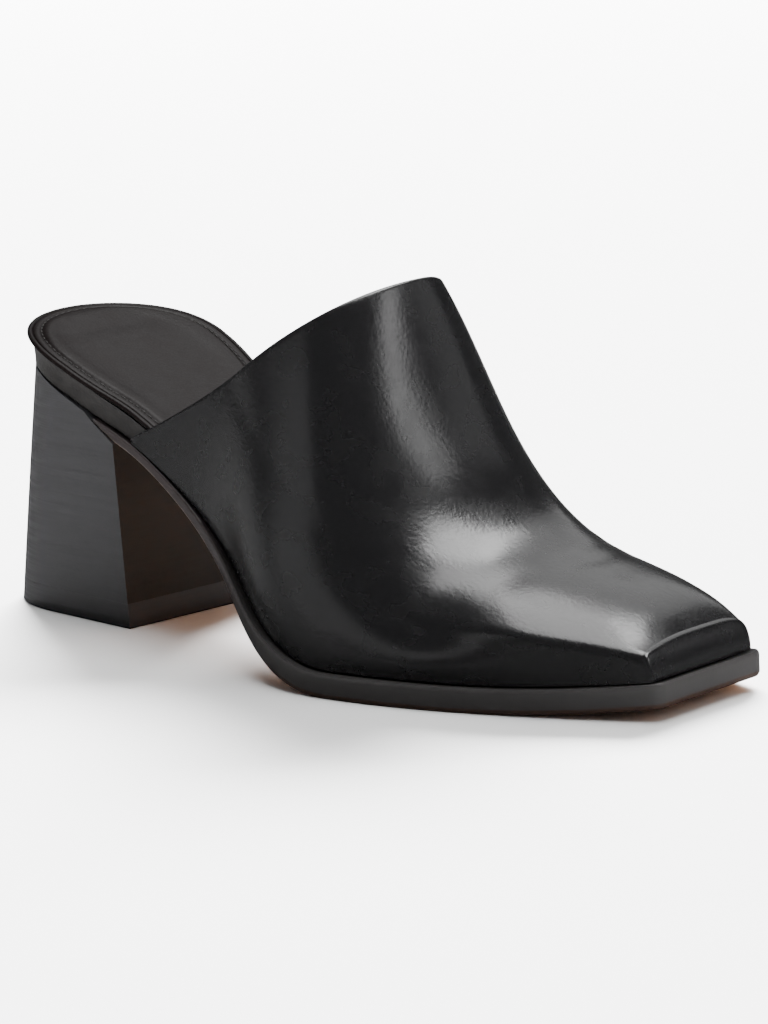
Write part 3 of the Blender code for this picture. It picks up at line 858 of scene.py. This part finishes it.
# %% [markdown]
# ## Stitches
# A row of lock stitches holds the covering. Each stitch is the same small bead of thread, laid
# along the channel at an even pitch, so Geometry Nodes do it: the channel is a curve, points are
# spread along it, and a bead is put on each point and turned to the curve. Modelling hundreds of
# beads by hand, or painting them, would look worse and take longer.

# %% Stitch tree
STITCH_PITCH = 0.0026
STITCH_LENGTH = 0.0019
THREAD_WIDTH = 0.00055
STITCHES_END = 0.36  # station inside the upper where the row stops


def stitch_tree():
    tree = bpy.data.node_groups.new("stitch_row", "GeometryNodeTree")
    add_socket(tree, "Geometry", "INPUT", "Geometry")
    for name, value in (("Pitch", 0.003), ("Length", 0.002), ("Width", 0.0005)):
        add_socket(tree, name, "INPUT", value=value)
    add_socket(tree, "Thread", "INPUT", "Material")
    add_socket(tree, "Geometry", "OUTPUT", "Geometry")
    given = tree.nodes.new("NodeGroupInput").outputs

    def fed(kind, feeds, **settings):
        """A node with its settings, whose named inputs then come from the given sockets."""
        node = add_node(tree, kind, **settings)
        for name, source in feeds.items():
            tree.links.new(source, node.inputs[name])
        return node.outputs

    points = fed(
        "GeometryNodeCurveToPoints", {"Curve": given["Geometry"], "Length": given["Pitch"]},
        mode="LENGTH",
    )
    bead = fed("GeometryNodeMeshUVSphere", {}, Segments=8, Rings=6, Radius=0.5)
    turn = fed("FunctionNodeAlignRotationToVector", {"Vector": points["Tangent"]}, axis="Z")
    size = fed(
        "ShaderNodeCombineXYZ", {"X": given["Width"], "Y": given["Width"], "Z": given["Length"]}
    )
    laid = fed("GeometryNodeInstanceOnPoints", {
        "Points": points["Points"], "Instance": bead["Mesh"],
        "Rotation": turn["Rotation"], "Scale": size["Vector"],
    })
    real = fed("GeometryNodeRealizeInstances", {"Geometry": laid["Instances"]})
    soft = fed("GeometryNodeSetShadeSmooth", {"Geometry": real["Geometry"]})
    dyed = fed(
        "GeometryNodeSetMaterial", {"Geometry": soft["Geometry"], "Material": given["Thread"]}
    )
    fed("NodeGroupOutput", {"Geometry": dyed["Geometry"]})
    return tree


def baked(name, carrier, tree, **inputs):
    """The result of a Geometry Nodes tree on an object, as a plain mesh. The carrier goes."""
    modifier = carrier.modifiers.new("nodes", "NODES")
    modifier.node_group = tree
    for item in tree.interface.items_tree:
        if item.in_out == "INPUT" and item.name in inputs:
            modifier[item.identifier] = inputs[item.name]
    graph = bpy.context.evaluated_depsgraph_get()
    mesh = bpy.data.meshes.new_from_object(carrier.evaluated_get(graph))
    bpy.data.objects.remove(carrier)
    print(name, len(mesh.polygons), "faces")
    return in_scene(name, mesh)


def path_object(name, points):
    """A curve of straight steps through the points."""
    data = bpy.data.curves.new(name, "CURVE")
    data.dimensions = "3D"
    line = data.splines.new("POLY")
    line.points.add(len(points) - 1)
    for place, point in zip(line.points, points):
        place.co = (*point, 1.0)
    return in_scene(name, data)


def stitch_path():
    """The channel from where it enters the upper on one side, round the heel, to the other."""
    loop = footbed_ring(STITCH_INSET, STITCH_INSET, lambda x: insole_top(x) + STITCH_RISE)
    half = len(loop) // 2
    limit = STITCHES_END * LENGTH - HEEL_MIDDLE
    outer = [p for p in loop[:half] if p[0] < limit]
    inner = [p for p in loop[half:] if p[0] < limit]
    return inner + outer


stitches = baked(
    "footbed_stitches", path_object("stitch_path", stitch_path()), stitch_tree(),
    Pitch=STITCH_PITCH, Length=STITCH_LENGTH, Width=THREAD_WIDTH, Thread=THREAD,
)
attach(stitches, "root")

# %% [markdown]
# ## The heel
# The block is flared towards the floor, round at the back and flat at the breast, with a top cut
# to the slope of the seat. Its skin looks like thin boards on each other. The loops follow the
# same rule as the solid's, and a small Bevel takes the sharpness off its edges, which is what
# catches the light on a real heel.

# %% Heel block and lift
HEEL_BACK_STEPS = 40
HEEL_SIDE_STEPS = 12
HEEL_LAYERS = 20
FIRST_TURN = radians(2)  # the rearmost points stay this far off the middle line
HEEL_BEVEL = 0.0005
SHARP_TURN = radians(50)
FACES_FORWARD = 0.9
SOLE_REAR = BREAST_TOP - TAIL_LENGTH
HEEL_LET_IN = (SOLE_REAR - 4 * SOLE_TAIL, SOLE_REAR - CLEARANCE)  # where the top slopes down to it


def heel_seat(x):
    """Height of the heel's top, with a hollow that lets the sole's thin rear end in."""
    let_in = ease(x, *HEEL_LET_IN)
    return sole_top(x) - (sole_thickness(x) + CLEARANCE) * let_in


def heel_loop(share, inset, height):
    """Outline of the heel, from its foot at share 0 to its top at share 1: round back, flat breast."""
    back = mix(-HEEL_FOOT_OVERHANG, HEEL_TOP_SETBACK, share) + inset
    breast = mix(BREAST_FOOT, BREAST_TOP, share) - inset
    half = mix(HEEL_FOOT_WIDTH / 2, half_width(OUTER, SEAT_END) - 0.5 * LIP, share) - inset
    roundness = mix(HEEL_FOOT_ROUND, HEEL_TOP_ROUND, share)
    centre = back + HEEL_BACK_DEPTH * half

    def edge(x):
        reach = max((centre - x) / (centre - back), 0.0)
        return half * max(1 - reach**roundness, 0.0) ** (1 / roundness)

    turn = [mix(FIRST_TURN, pi / 2, i / HEEL_BACK_STEPS) for i in range(HEEL_BACK_STEPS + 1)]
    xs = [back + (centre - back) * (1 - cos(a)) for a in turn]
    xs += [mix(centre, breast, (i + 1) / HEEL_SIDE_STEPS) for i in range(HEEL_SIDE_STEPS)]
    top_length = BREAST_TOP - HEEL_TOP_SETBACK
    xs = sorted(xs + [mix(back, breast, (x - HEEL_TOP_SETBACK) / top_length) for x in HEEL_LET_IN])
    return ring(xs, edge, edge, lambda x: height(x, back, breast))


def heel_level(share):
    def height(x, back, breast):
        along = (x - back) / (breast - back)
        seat = heel_seat(mix(HEEL_TOP_SETBACK, BREAST_TOP, along))
        return mix(LIFT + CLEARANCE, seat, share)

    return height


def soften_edges(piece, width):
    """Rounds the sharp edges of a piece."""
    edge = piece.modifiers.new("soft_edges", "BEVEL")
    edge.width = width
    edge.segments = 3
    edge.limit_method = "ANGLE"
    edge.angle_limit = SHARP_TURN
    edge.harden_normals = True


def paint_breast_shade(piece, shade_index):
    """Gives the flat front of the heel the darker copy of the stacked finish, as painted shade."""
    for face in piece.data.polygons:
        if face.normal.x > FACES_FORWARD:
            face.material_index = shade_index


def heel_block():
    foot_share = (LIFT + CLEARANCE) / HEEL_HEIGHT
    shares = [i / HEEL_LAYERS for i in range(HEEL_LAYERS + 1)]
    rings = [heel_loop(mix(foot_share, 1.0, t), 0.0, heel_level(t)) for t in shares]
    # The second finish is the darker copy of the stack, painted shade for the breast.
    piece = stacked_piece("heel_block_skin", rings, [HEEL_STACK, PAINTED_BREAST_SHADE])
    paint_breast_shade(piece, 1)
    soften_edges(piece, HEEL_BEVEL)
    return piece


def lift():
    def flat(z):
        return lambda x, back, breast: z

    share = LIFT / HEEL_HEIGHT
    rings = [
        heel_loop(0.0, 0.0010, flat(0.0)),
        heel_loop(0.0, 0.0003, flat(0.0001)),
        heel_loop(0.0, 0.0000, flat(0.0005)),
        heel_loop(0.5 * share, 0.0000, flat(0.5 * LIFT)),
        heel_loop(share, 0.0000, flat(LIFT + 0.00024)),
        heel_loop(share, 0.00004, flat(LIFT + 0.00028)),
    ]
    finishes = [RUBBER, HEEL_STACK]
    return stacked_piece("heel_lift_skin", rings, finishes, [0, 0, 1, 1, 1], bottom=0, top=1)


heel_piece = heel_block()
finish_piece(heel_piece, "heel_block")
lift_piece = lift()
finish_piece(lift_piece, "heel_top_lift")

# %% [markdown]
# ## The upper
# The upper is one piece of leather, pulled over the last and lined. It is built as an open sheet
# of crossing lines, up each wall at every station, then thickened inwards. Blender's Solidify
# would leave a square edge at the opening. Here the rim is rolled with a few extra rows,
# because the thin light line along the opening is one of the things that the eye finds first.

# %% Sections of the upper
THROAT_STEPS = 64
VAMP_STEPS = 110
WALL_STEPS = 56
TOE_EDGE_STEPS = 5
FRONT_STEPS = 8
SECTION_STEPS = 240
SLANT_STARTS, SLANT_FULL = 0.90, 0.98  # stations where the walls start to lean back to the toe
SHOULDER_STEPS = 8
SHOULDER_LIMIT = 0.85  # share of the crown's height that the shoulder stays under
SWELL_RANGE = 2.5  # the walls swell over the lowest 40 % of their height
TALL = 0.4 * VAMP_HEIGHT  # height of the crown from which they swell in full
WELD = 0.000004


def topline(x):
    """Height of the opening's edge above the sole. In side view the edge sags a little."""
    start, end = UPPER_START * LENGTH, THROAT * LENGTH
    low = sole_top(start) + TOPLINE_RISE
    high = sole_top(end) + VAMP_HEIGHT
    t = (x - start) / (end - start)
    return mix(low, high, t) - TOPLINE_SAG * 4 * t * (1 - t) - sole_top(x)


def crown_height(x):
    return mix(TOE_HEIGHT, VAMP_HEIGHT, CROWN_SHARE(x / LENGTH))


def leaned(share):
    """How much of the toe's slant is left at a share of its height: none of it shows at the sole."""
    return TOE_SLANT * (1 - share**2)


def section(x, side):
    """Outer face of one side of the upper at a station: (y, rise) from the sole to the crown."""
    crown = crown_height(x)
    wall = {s: outline_y(s, min(x, LENGTH - welt(x)), welt(x), 0.0) for s in SIDES}
    ridge = mix(-wall[OUTER], wall[INNER], RIDGE_SHARE(x / LENGTH))
    sign = -1 if side == OUTER else 1
    reach = wall[side] - sign * ridge
    roundness = ROUND[side](x / LENGTH)
    boxy = ease(roundness, 1.8, 2.4)
    across_power = mix(1.0, 2 / roundness, boxy)
    rise_power = mix((2 / roundness) ** 2, 2 / roundness, boxy)
    tall = ease(crown, TOE_HEIGHT, TALL)
    angle = np.linspace(0, pi / 2, SECTION_STEPS + 1)
    rise = np.sin(angle) ** rise_power
    swell = WALL_SWELL * tall * np.sin(pi * np.minimum(SWELL_RANGE * rise, 1.0))
    across = reach * np.maximum(np.cos(angle), 0.0) ** across_power + swell
    line = np.stack([ridge + sign * across, crown * rise], axis=1)
    return shouldered(line, x) if side == OUTER and x > SHOULDER_START * LENGTH else line


def shouldered(line, x):
    """The line with the crisp shoulder of a square toe, where its flat top turns down into the wall."""
    crown = line[-1, 1]
    foot, top = line[0, 0], line[-1, 0]
    height = min(SHOULDER_HEIGHT + SHOULDER_CLIMB * (LENGTH - x), SHOULDER_LIMIT * crown)
    t = np.linspace(SHOULDER_ROUND / abs(top - foot), 1, len(line))
    cap = np.stack([mix(foot, top, t), mix(height, crown, 1 - (1 - t) ** SHOULDER_POWER)], axis=1)
    b = np.linspace(0, 1, SHOULDER_STEPS + 1)[:-1, None]
    low, corner = np.array([foot, height - SHOULDER_ROUND]), np.array([foot, height])
    turn = (1 - b) ** 2 * low + 2 * b * (1 - b) * corner + b**2 * cap[0]
    sharp = np.vstack([[[foot, 0.0]], turn, cap])
    share = ease(x, SHOULDER_START * LENGTH, SHOULDER_FULL * LENGTH)
    return mix(resampled(line, len(line)), resampled(sharp, len(line)), share)


def resampled(points, steps):
    """The same line with evenly spaced points."""
    lengths = np.concatenate([[0.0], np.cumsum(np.linalg.norm(np.diff(points, axis=0), axis=1))])
    at = np.linspace(0.0, lengths[-1], steps + 1)
    return np.stack([np.interp(at, lengths, points[:, k]) for k in range(points.shape[1])], axis=1)


def cut_at(points, rise):
    """The part of a rising line below a height."""
    above = int(np.searchsorted(points[:, 1], rise))
    if above >= len(points):
        return points
    last, after = points[above - 1], points[above]
    t = (rise - last[1]) / (after[1] - last[1])
    return np.vstack([points[:above], last + (after - last) * t])


def standing(x, y, rise):
    """A point above the sole, x metres ahead of the back of the footbed."""
    return placed(x, y, sole_top(x) + CLEARANCE + rise)


def upper_column(x, side):
    """Points up one wall of the upper at a station, as far as the topline or the crown."""
    line = section(x, side)
    if x < THROAT * LENGTH:
        line = cut_at(line, topline(x))
    crown = line[-1, 1]
    part = ease(x, SLANT_STARTS * LENGTH, SLANT_FULL * LENGTH)
    return [
        standing(x + part * leaned(rise / crown), y, rise) for y, rise in resampled(line, WALL_STEPS)
    ]


# %% Front of the toe


def toe_front(x):
    """Rows that turn over the front edge of the toe and run down its face to the sole."""
    lines = {s: resampled(section(x, s), WALL_STEPS) for s in SIDES}
    middle, crown = lines[OUTER][-1]

    def row(ahead, shape):
        return {
            side: [
                standing(x + ahead + leaned(rise / crown), y, rise)
                for y, rise in (shape(k, y, rise) for k, (y, rise) in enumerate(line))
            ]
            for side, line in lines.items()
        }

    def drawn_in(amount):
        def shape(k, y, rise):
            reach = abs(lines[OUTER if y < middle else INNER][0, 0] - middle)
            return middle + (y - middle) * (1 - amount / reach), rise * (1 - amount / crown)

        return shape

    def lowered(share):
        edge = drawn_in(TOE_EDGE)

        def shape(k, y, rise):
            top_y, top_rise = edge(k, y, rise)
            foot_y, _ = edge(0, lines[OUTER if y < middle else INNER][0, 0], 0.0)
            return mix(top_y, mix(foot_y, middle, k / WALL_STEPS), share), top_rise * (1 - share)

        return shape

    turns = [(i + 1) / TOE_EDGE_STEPS * pi / 2 for i in range(TOE_EDGE_STEPS)]
    rows = [row(TOE_EDGE * sin(a), drawn_in(TOE_EDGE * (1 - cos(a)))) for a in turns]
    rows += [row(TOE_EDGE, lowered((i + 1) / FRONT_STEPS)) for i in range(FRONT_STEPS)]
    return rows


def upper_sheet():
    """The outside of the upper as one open sheet."""
    start, throat = UPPER_START * LENGTH, THROAT * LENGTH
    end = LENGTH - WELT - TOE_SLANT - TOE_EDGE
    xs = [start + (throat - start) * sin(i / THROAT_STEPS * pi / 2) for i in range(THROAT_STEPS)]
    xs += [mix(throat, end, (1 - cos(i / VAMP_STEPS * pi)) / 2) for i in range(VAMP_STEPS + 1)]
    rows = [{s: upper_column(x, s) for s in SIDES} for x in xs]
    rows += toe_front(end)
    shape = bmesh.new()
    for side in SIDES:
        lines = [[shape.verts.new(point) for point in row[side]] for row in rows]
        for near, far in zip(lines, lines[1:]):
            for k in range(WALL_STEPS):
                corners = (near[k], far[k], far[k + 1], near[k + 1])
                shape.faces.new(corners if side == OUTER else corners[::-1])
    bmesh.ops.remove_doubles(shape, verts=shape.verts, dist=WELD)
    return shape


sheet = upper_sheet()
print("upper sheet:", len(sheet.verts), "points")

# %% [markdown]
# ## Creases
# A worn or boxed mule has a few soft creases where the vamp bends, and the leather over the toe
# is never perfectly even. Each crease is a row of a table: where it starts and ends on the shoe
# seen from above, how far it bows, and how wide and deep it is. Every point of the sheet moves in
# along its normal by what the creases near it say. Placing them one by one puts them where the
# photo has them, which noise can't do.

# %% Creases
CREASES = table(
    "x0 y0 x1 y1 bow width depth",  # in mm, seen from above
    (160, 4, 155, 27, 2.0, 2.4, 0.10),
    (167, 0, 164, 26, 2.5, 2.2, 0.08),
    (152, 14, 148, 28, 1.0, 2.0, 0.08),
    (160, -22, 168, -4, -2.5, 4.0, 0.06),
    (176, -8, 176, 16, 2.0, 4.0, 0.05),
)


def crease_depth(point):
    """How far the creases press in a point of the upper, in metres."""
    x, y = 1000 * point.x, 1000 * point.y
    total = 0.0
    for c in CREASES:
        dx, dy = c.x1 - c.x0, c.y1 - c.y0
        length = sqrt(dx * dx + dy * dy)
        along = ((x - c.x0) * dx + (y - c.y0) * dy) / length**2
        if not -0.3 < along < 1.3:
            continue
        away = ((x - c.x0) * dy - (y - c.y0) * dx) / length - c.bow * 4 * along * (1 - along)
        fade = ease(along, -0.25, 0.25) * (1 - ease(along, 0.75, 1.25))
        valley = np.exp(-((away / c.width) ** 2))
        fold = np.exp(-(((away - 2 * c.width) / (1.3 * c.width)) ** 2))
        total += c.depth * fade * (valley - 0.45 * fold)
    return total / 1000


CREASED_ABOVE = 0.016  # height under which the leather is held by the sole
sheet.normal_update()
for vert in sheet.verts:
    if vert.co.z > CREASED_ABOVE:
        vert.co -= vert.normal * crease_depth(vert.co)
print("creases:", len(CREASES))

# %% Wall and rolled rim
RIM_STEPS = 6
RIM_BULGE = 0.9  # of half the wall's thickness
RIM_FULL = 0.004  # height above the sole from which the rim is whole


def thickened(name, shape, finishes):
    """A closed wall from an open sheet, its rim rolled over. The inside gets the second finish."""
    shape.normal_update()
    outside = list(shape.verts)
    skin = list(shape.faces)
    place = {vert: (vert.co.copy(), vert.normal.copy()) for vert in outside}
    walls = {vert: wall_at(vert.co.x + HEEL_MIDDLE) for vert in outside}
    inside = {vert: shape.verts.new(co - walls[vert] * normal) for vert, (co, normal) in place.items()}
    border = []
    outward = {}
    for edge in [e for e in shape.edges if e.is_boundary]:
        loop = edge.link_loops[0]
        a, b = loop.vert, loop.link_loop_next.vert
        border.append((a, b))
        for vert in (a, b):
            away = (b.co - a.co).normalized().cross(place[vert][1])
            outward[vert] = outward.get(vert, Vector()) + away
    rim = {}
    for vert, away in outward.items():
        co, normal = place[vert]
        wall = walls[vert]
        away = away.normalized()
        row = [vert]
        for i in range(1, RIM_STEPS):
            turn = pi * i / RIM_STEPS
            middle = co - normal * wall / 2
            height = co.z - sole_top(co.x + HEEL_MIDDLE)
            bulge = 0.5 * wall * RIM_BULGE * min(1.0, height / RIM_FULL)
            lifted = normal * (wall / 2) * cos(turn)
            row.append(shape.verts.new(middle + lifted + away * bulge * sin(turn)))
        rim[vert] = row + [inside[vert]]
    for face in skin:
        made = shape.faces.new([inside[vert] for vert in reversed(face.verts)])
        made.material_index = 1
    for a, b in border:
        for low, high in zip(range(RIM_STEPS), range(1, RIM_STEPS + 1)):
            shape.faces.new((rim[b][low], rim[a][low], rim[a][high], rim[b][high]))
    return add_piece(name, shape, finishes, sharp=60)


upper_piece = thickened("upper_leather_skin", sheet, [POLISHED, LINING])
finish_piece(upper_piece, "upper")

# %% [markdown]
# ## Studio
# The photo was taken on white paper with large soft lights. Black polish shows little but what
# it reflects, so the lights matter more than the leather's own colour. A studio keeps the polish
# black with dark cards outside the picture, and lights the paper from behind until it burns out
# to white. Here the Light Path node does the cards' work: the paper and the air are bright where
# they are seen directly, and dim where a glossy surface reflects them.

# %% Paper floor
PAPER_HALF = 9.0
PAPER_WHITE = 0.62
PAPER_IN_GLOSS = 0.028


def plain_floor():
    made, tree, shader = blank_material("pale_studio_paper")
    tree.nodes.remove(shader)
    paper = tree.nodes.new("ShaderNodeBsdfDiffuse")
    path = tree.nodes.new("ShaderNodeLightPath")
    glossy = path.outputs["Is Glossy Ray"]
    shade = remap(tree, glossy, 0.0, 1.0, PAPER_WHITE, PAPER_IN_GLOSS)
    tree.links.new(shade, paper.inputs["Color"])
    tree.links.new(paper.outputs["BSDF"], tree.nodes["Material Output"].inputs["Surface"])
    shape = bmesh.new()
    bmesh.ops.create_grid(shape, x_segments=6, y_segments=6, size=PAPER_HALF)
    piece = add_piece("studio_floor", shape, [made])
    return piece


floor_piece = plain_floor()

# %% Camera at the photo's angle
CAMERA_AZIMUTH = radians(48.62)
CAMERA_ELEVATION = radians(12.2)
CAMERA_ROLL = radians(-2.82)
CAMERA_DISTANCE = 1.2
CAMERA_TARGET = Vector((0.10187, -0.00158, 0.03635))
FOCAL_PIXELS = 4673
FRAME_HEIGHT = 1024
SENSOR = 36.0


def camera():
    data = bpy.data.cameras.new("photo_camera")
    data.sensor_width = SENSOR
    data.lens = FOCAL_PIXELS / FRAME_HEIGHT * SENSOR
    data.clip_end = 20.0
    eye = in_scene("photo_camera", data)
    a, e, r = CAMERA_AZIMUTH, CAMERA_ELEVATION, CAMERA_ROLL
    back = Vector((sin(a) * cos(e), -cos(a) * cos(e), sin(e)))
    right = Vector((cos(a), sin(a), 0.0))
    up = back.cross(right)
    tilted_right = right * cos(r) + up * sin(r)
    tilted_up = up * cos(r) - right * sin(r)
    turn = Matrix((tilted_right, tilted_up, back)).transposed().to_4x4()
    eye.matrix_world = Matrix.Translation(CAMERA_TARGET + back * CAMERA_DISTANCE) @ turn
    bpy.context.scene.camera = eye
    return back, right


view_back, view_right = camera()

# %% [markdown]
# ## Lights placed by what they reflect
# A highlight sits where the surface mirrors a light into the camera, so each soft box is placed
# by a direction from the shoe, measured to the right of the picture, up, and back towards the
# camera. Two boxes hang overhead for the broad glow on the vamp, the left one weaker, a narrow
# one stands to the right for the streak by the opening, and a wide dim one fills in behind, for
# the sheen over the toe. A small one further round to the right lifts the front of the toe out of
# the dark, and a broad weak one to the left does the same for the side of the shoe.
# The paper light has another task: it whitens the paper from behind, so that the shoe's shadow
# falls towards the camera as in the photo. A photographer keeps it off the shoe with boards, and
# here its light is linked to the floor alone.

# %% Soft boxes
SOFTBOXES = table(
    "name right up back away width height power shows",
    ("overhead_box", 0.24, 0.96, 0.02, 1.3, 0.50, 1.10, 22.0, True),
    ("overhead_left_box", -0.12, 0.96, -0.18, 1.3, 0.40, 1.20, 9.0, True),
    ("right_box", 0.67, 0.51, 0.52, 1.5, 0.34, 0.80, 3.6, True),
    ("rear_box", 0.27, 0.69, -0.67, 2.2, 1.4, 1.5, 8.0, True),
    ("toe_box", 0.91, 0.44, 0.05, 1.8, 0.8, 0.6, 0.9, True),
    ("left_box", -0.96, 0.12, 0.16, 2.0, 2.4, 0.7, 2.9, True),
    ("paper_light", 0.10, 0.58, -0.81, 6.0, 3.4, 2.2, 6000.0, False),
)
paper_only = bpy.data.collections.new("lit_by_the_paper_light")
paper_only.objects.link(floor_piece)


def softbox(box):
    """A rectangular light that faces the shoe. One that doesn't show lights only the paper."""
    light = bpy.data.lights.new(box.name, "AREA")
    light.shape = "RECTANGLE"
    light.size = box.width
    light.size_y = box.height
    light.energy = box.power
    lamp = in_scene(box.name, light)
    lamp.visible_glossy = box.shows
    if not box.shows:
        lamp.light_linking.receiver_collection = paper_only
    flat_back = Vector((view_back.x, view_back.y, 0.0)).normalized()
    out = (view_right * box.right + Vector((0, 0, 1)) * box.up + flat_back * box.back).normalized()
    across = (view_right - out * view_right.dot(out)).normalized()
    turn = Matrix((across, out.cross(across), out)).transposed().to_4x4()
    lamp.matrix_world = Matrix.Translation(CAMERA_TARGET + out * box.away) @ turn


for box in SOFTBOXES:
    softbox(box)

# %% White air that reflects darker
AIR = 0.18
AIR_SEEN = 3.0
AIR_IN_GLOSS = 0.08


def studio_air():
    world = bpy.data.worlds.new("studio_air")
    world.use_nodes = True
    tree = world.node_tree
    air = tree.nodes["Background"]
    path = tree.nodes.new("ShaderNodeLightPath")
    seen = remap(tree, path.outputs["Is Camera Ray"], 0.0, 1.0, AIR, AIR_SEEN)
    dimmed = remap(tree, path.outputs["Is Glossy Ray"], 0.0, 1.0, 1.0, AIR_IN_GLOSS / AIR)
    tree.links.new(math_node(tree, "MULTIPLY", seen, dimmed), air.inputs["Strength"])
    air.inputs["Color"].default_value = (1.0, 1.0, 1.0, 1.0)
    bpy.context.scene.world = world


studio_air()
print("lights:", len(SOFTBOXES))
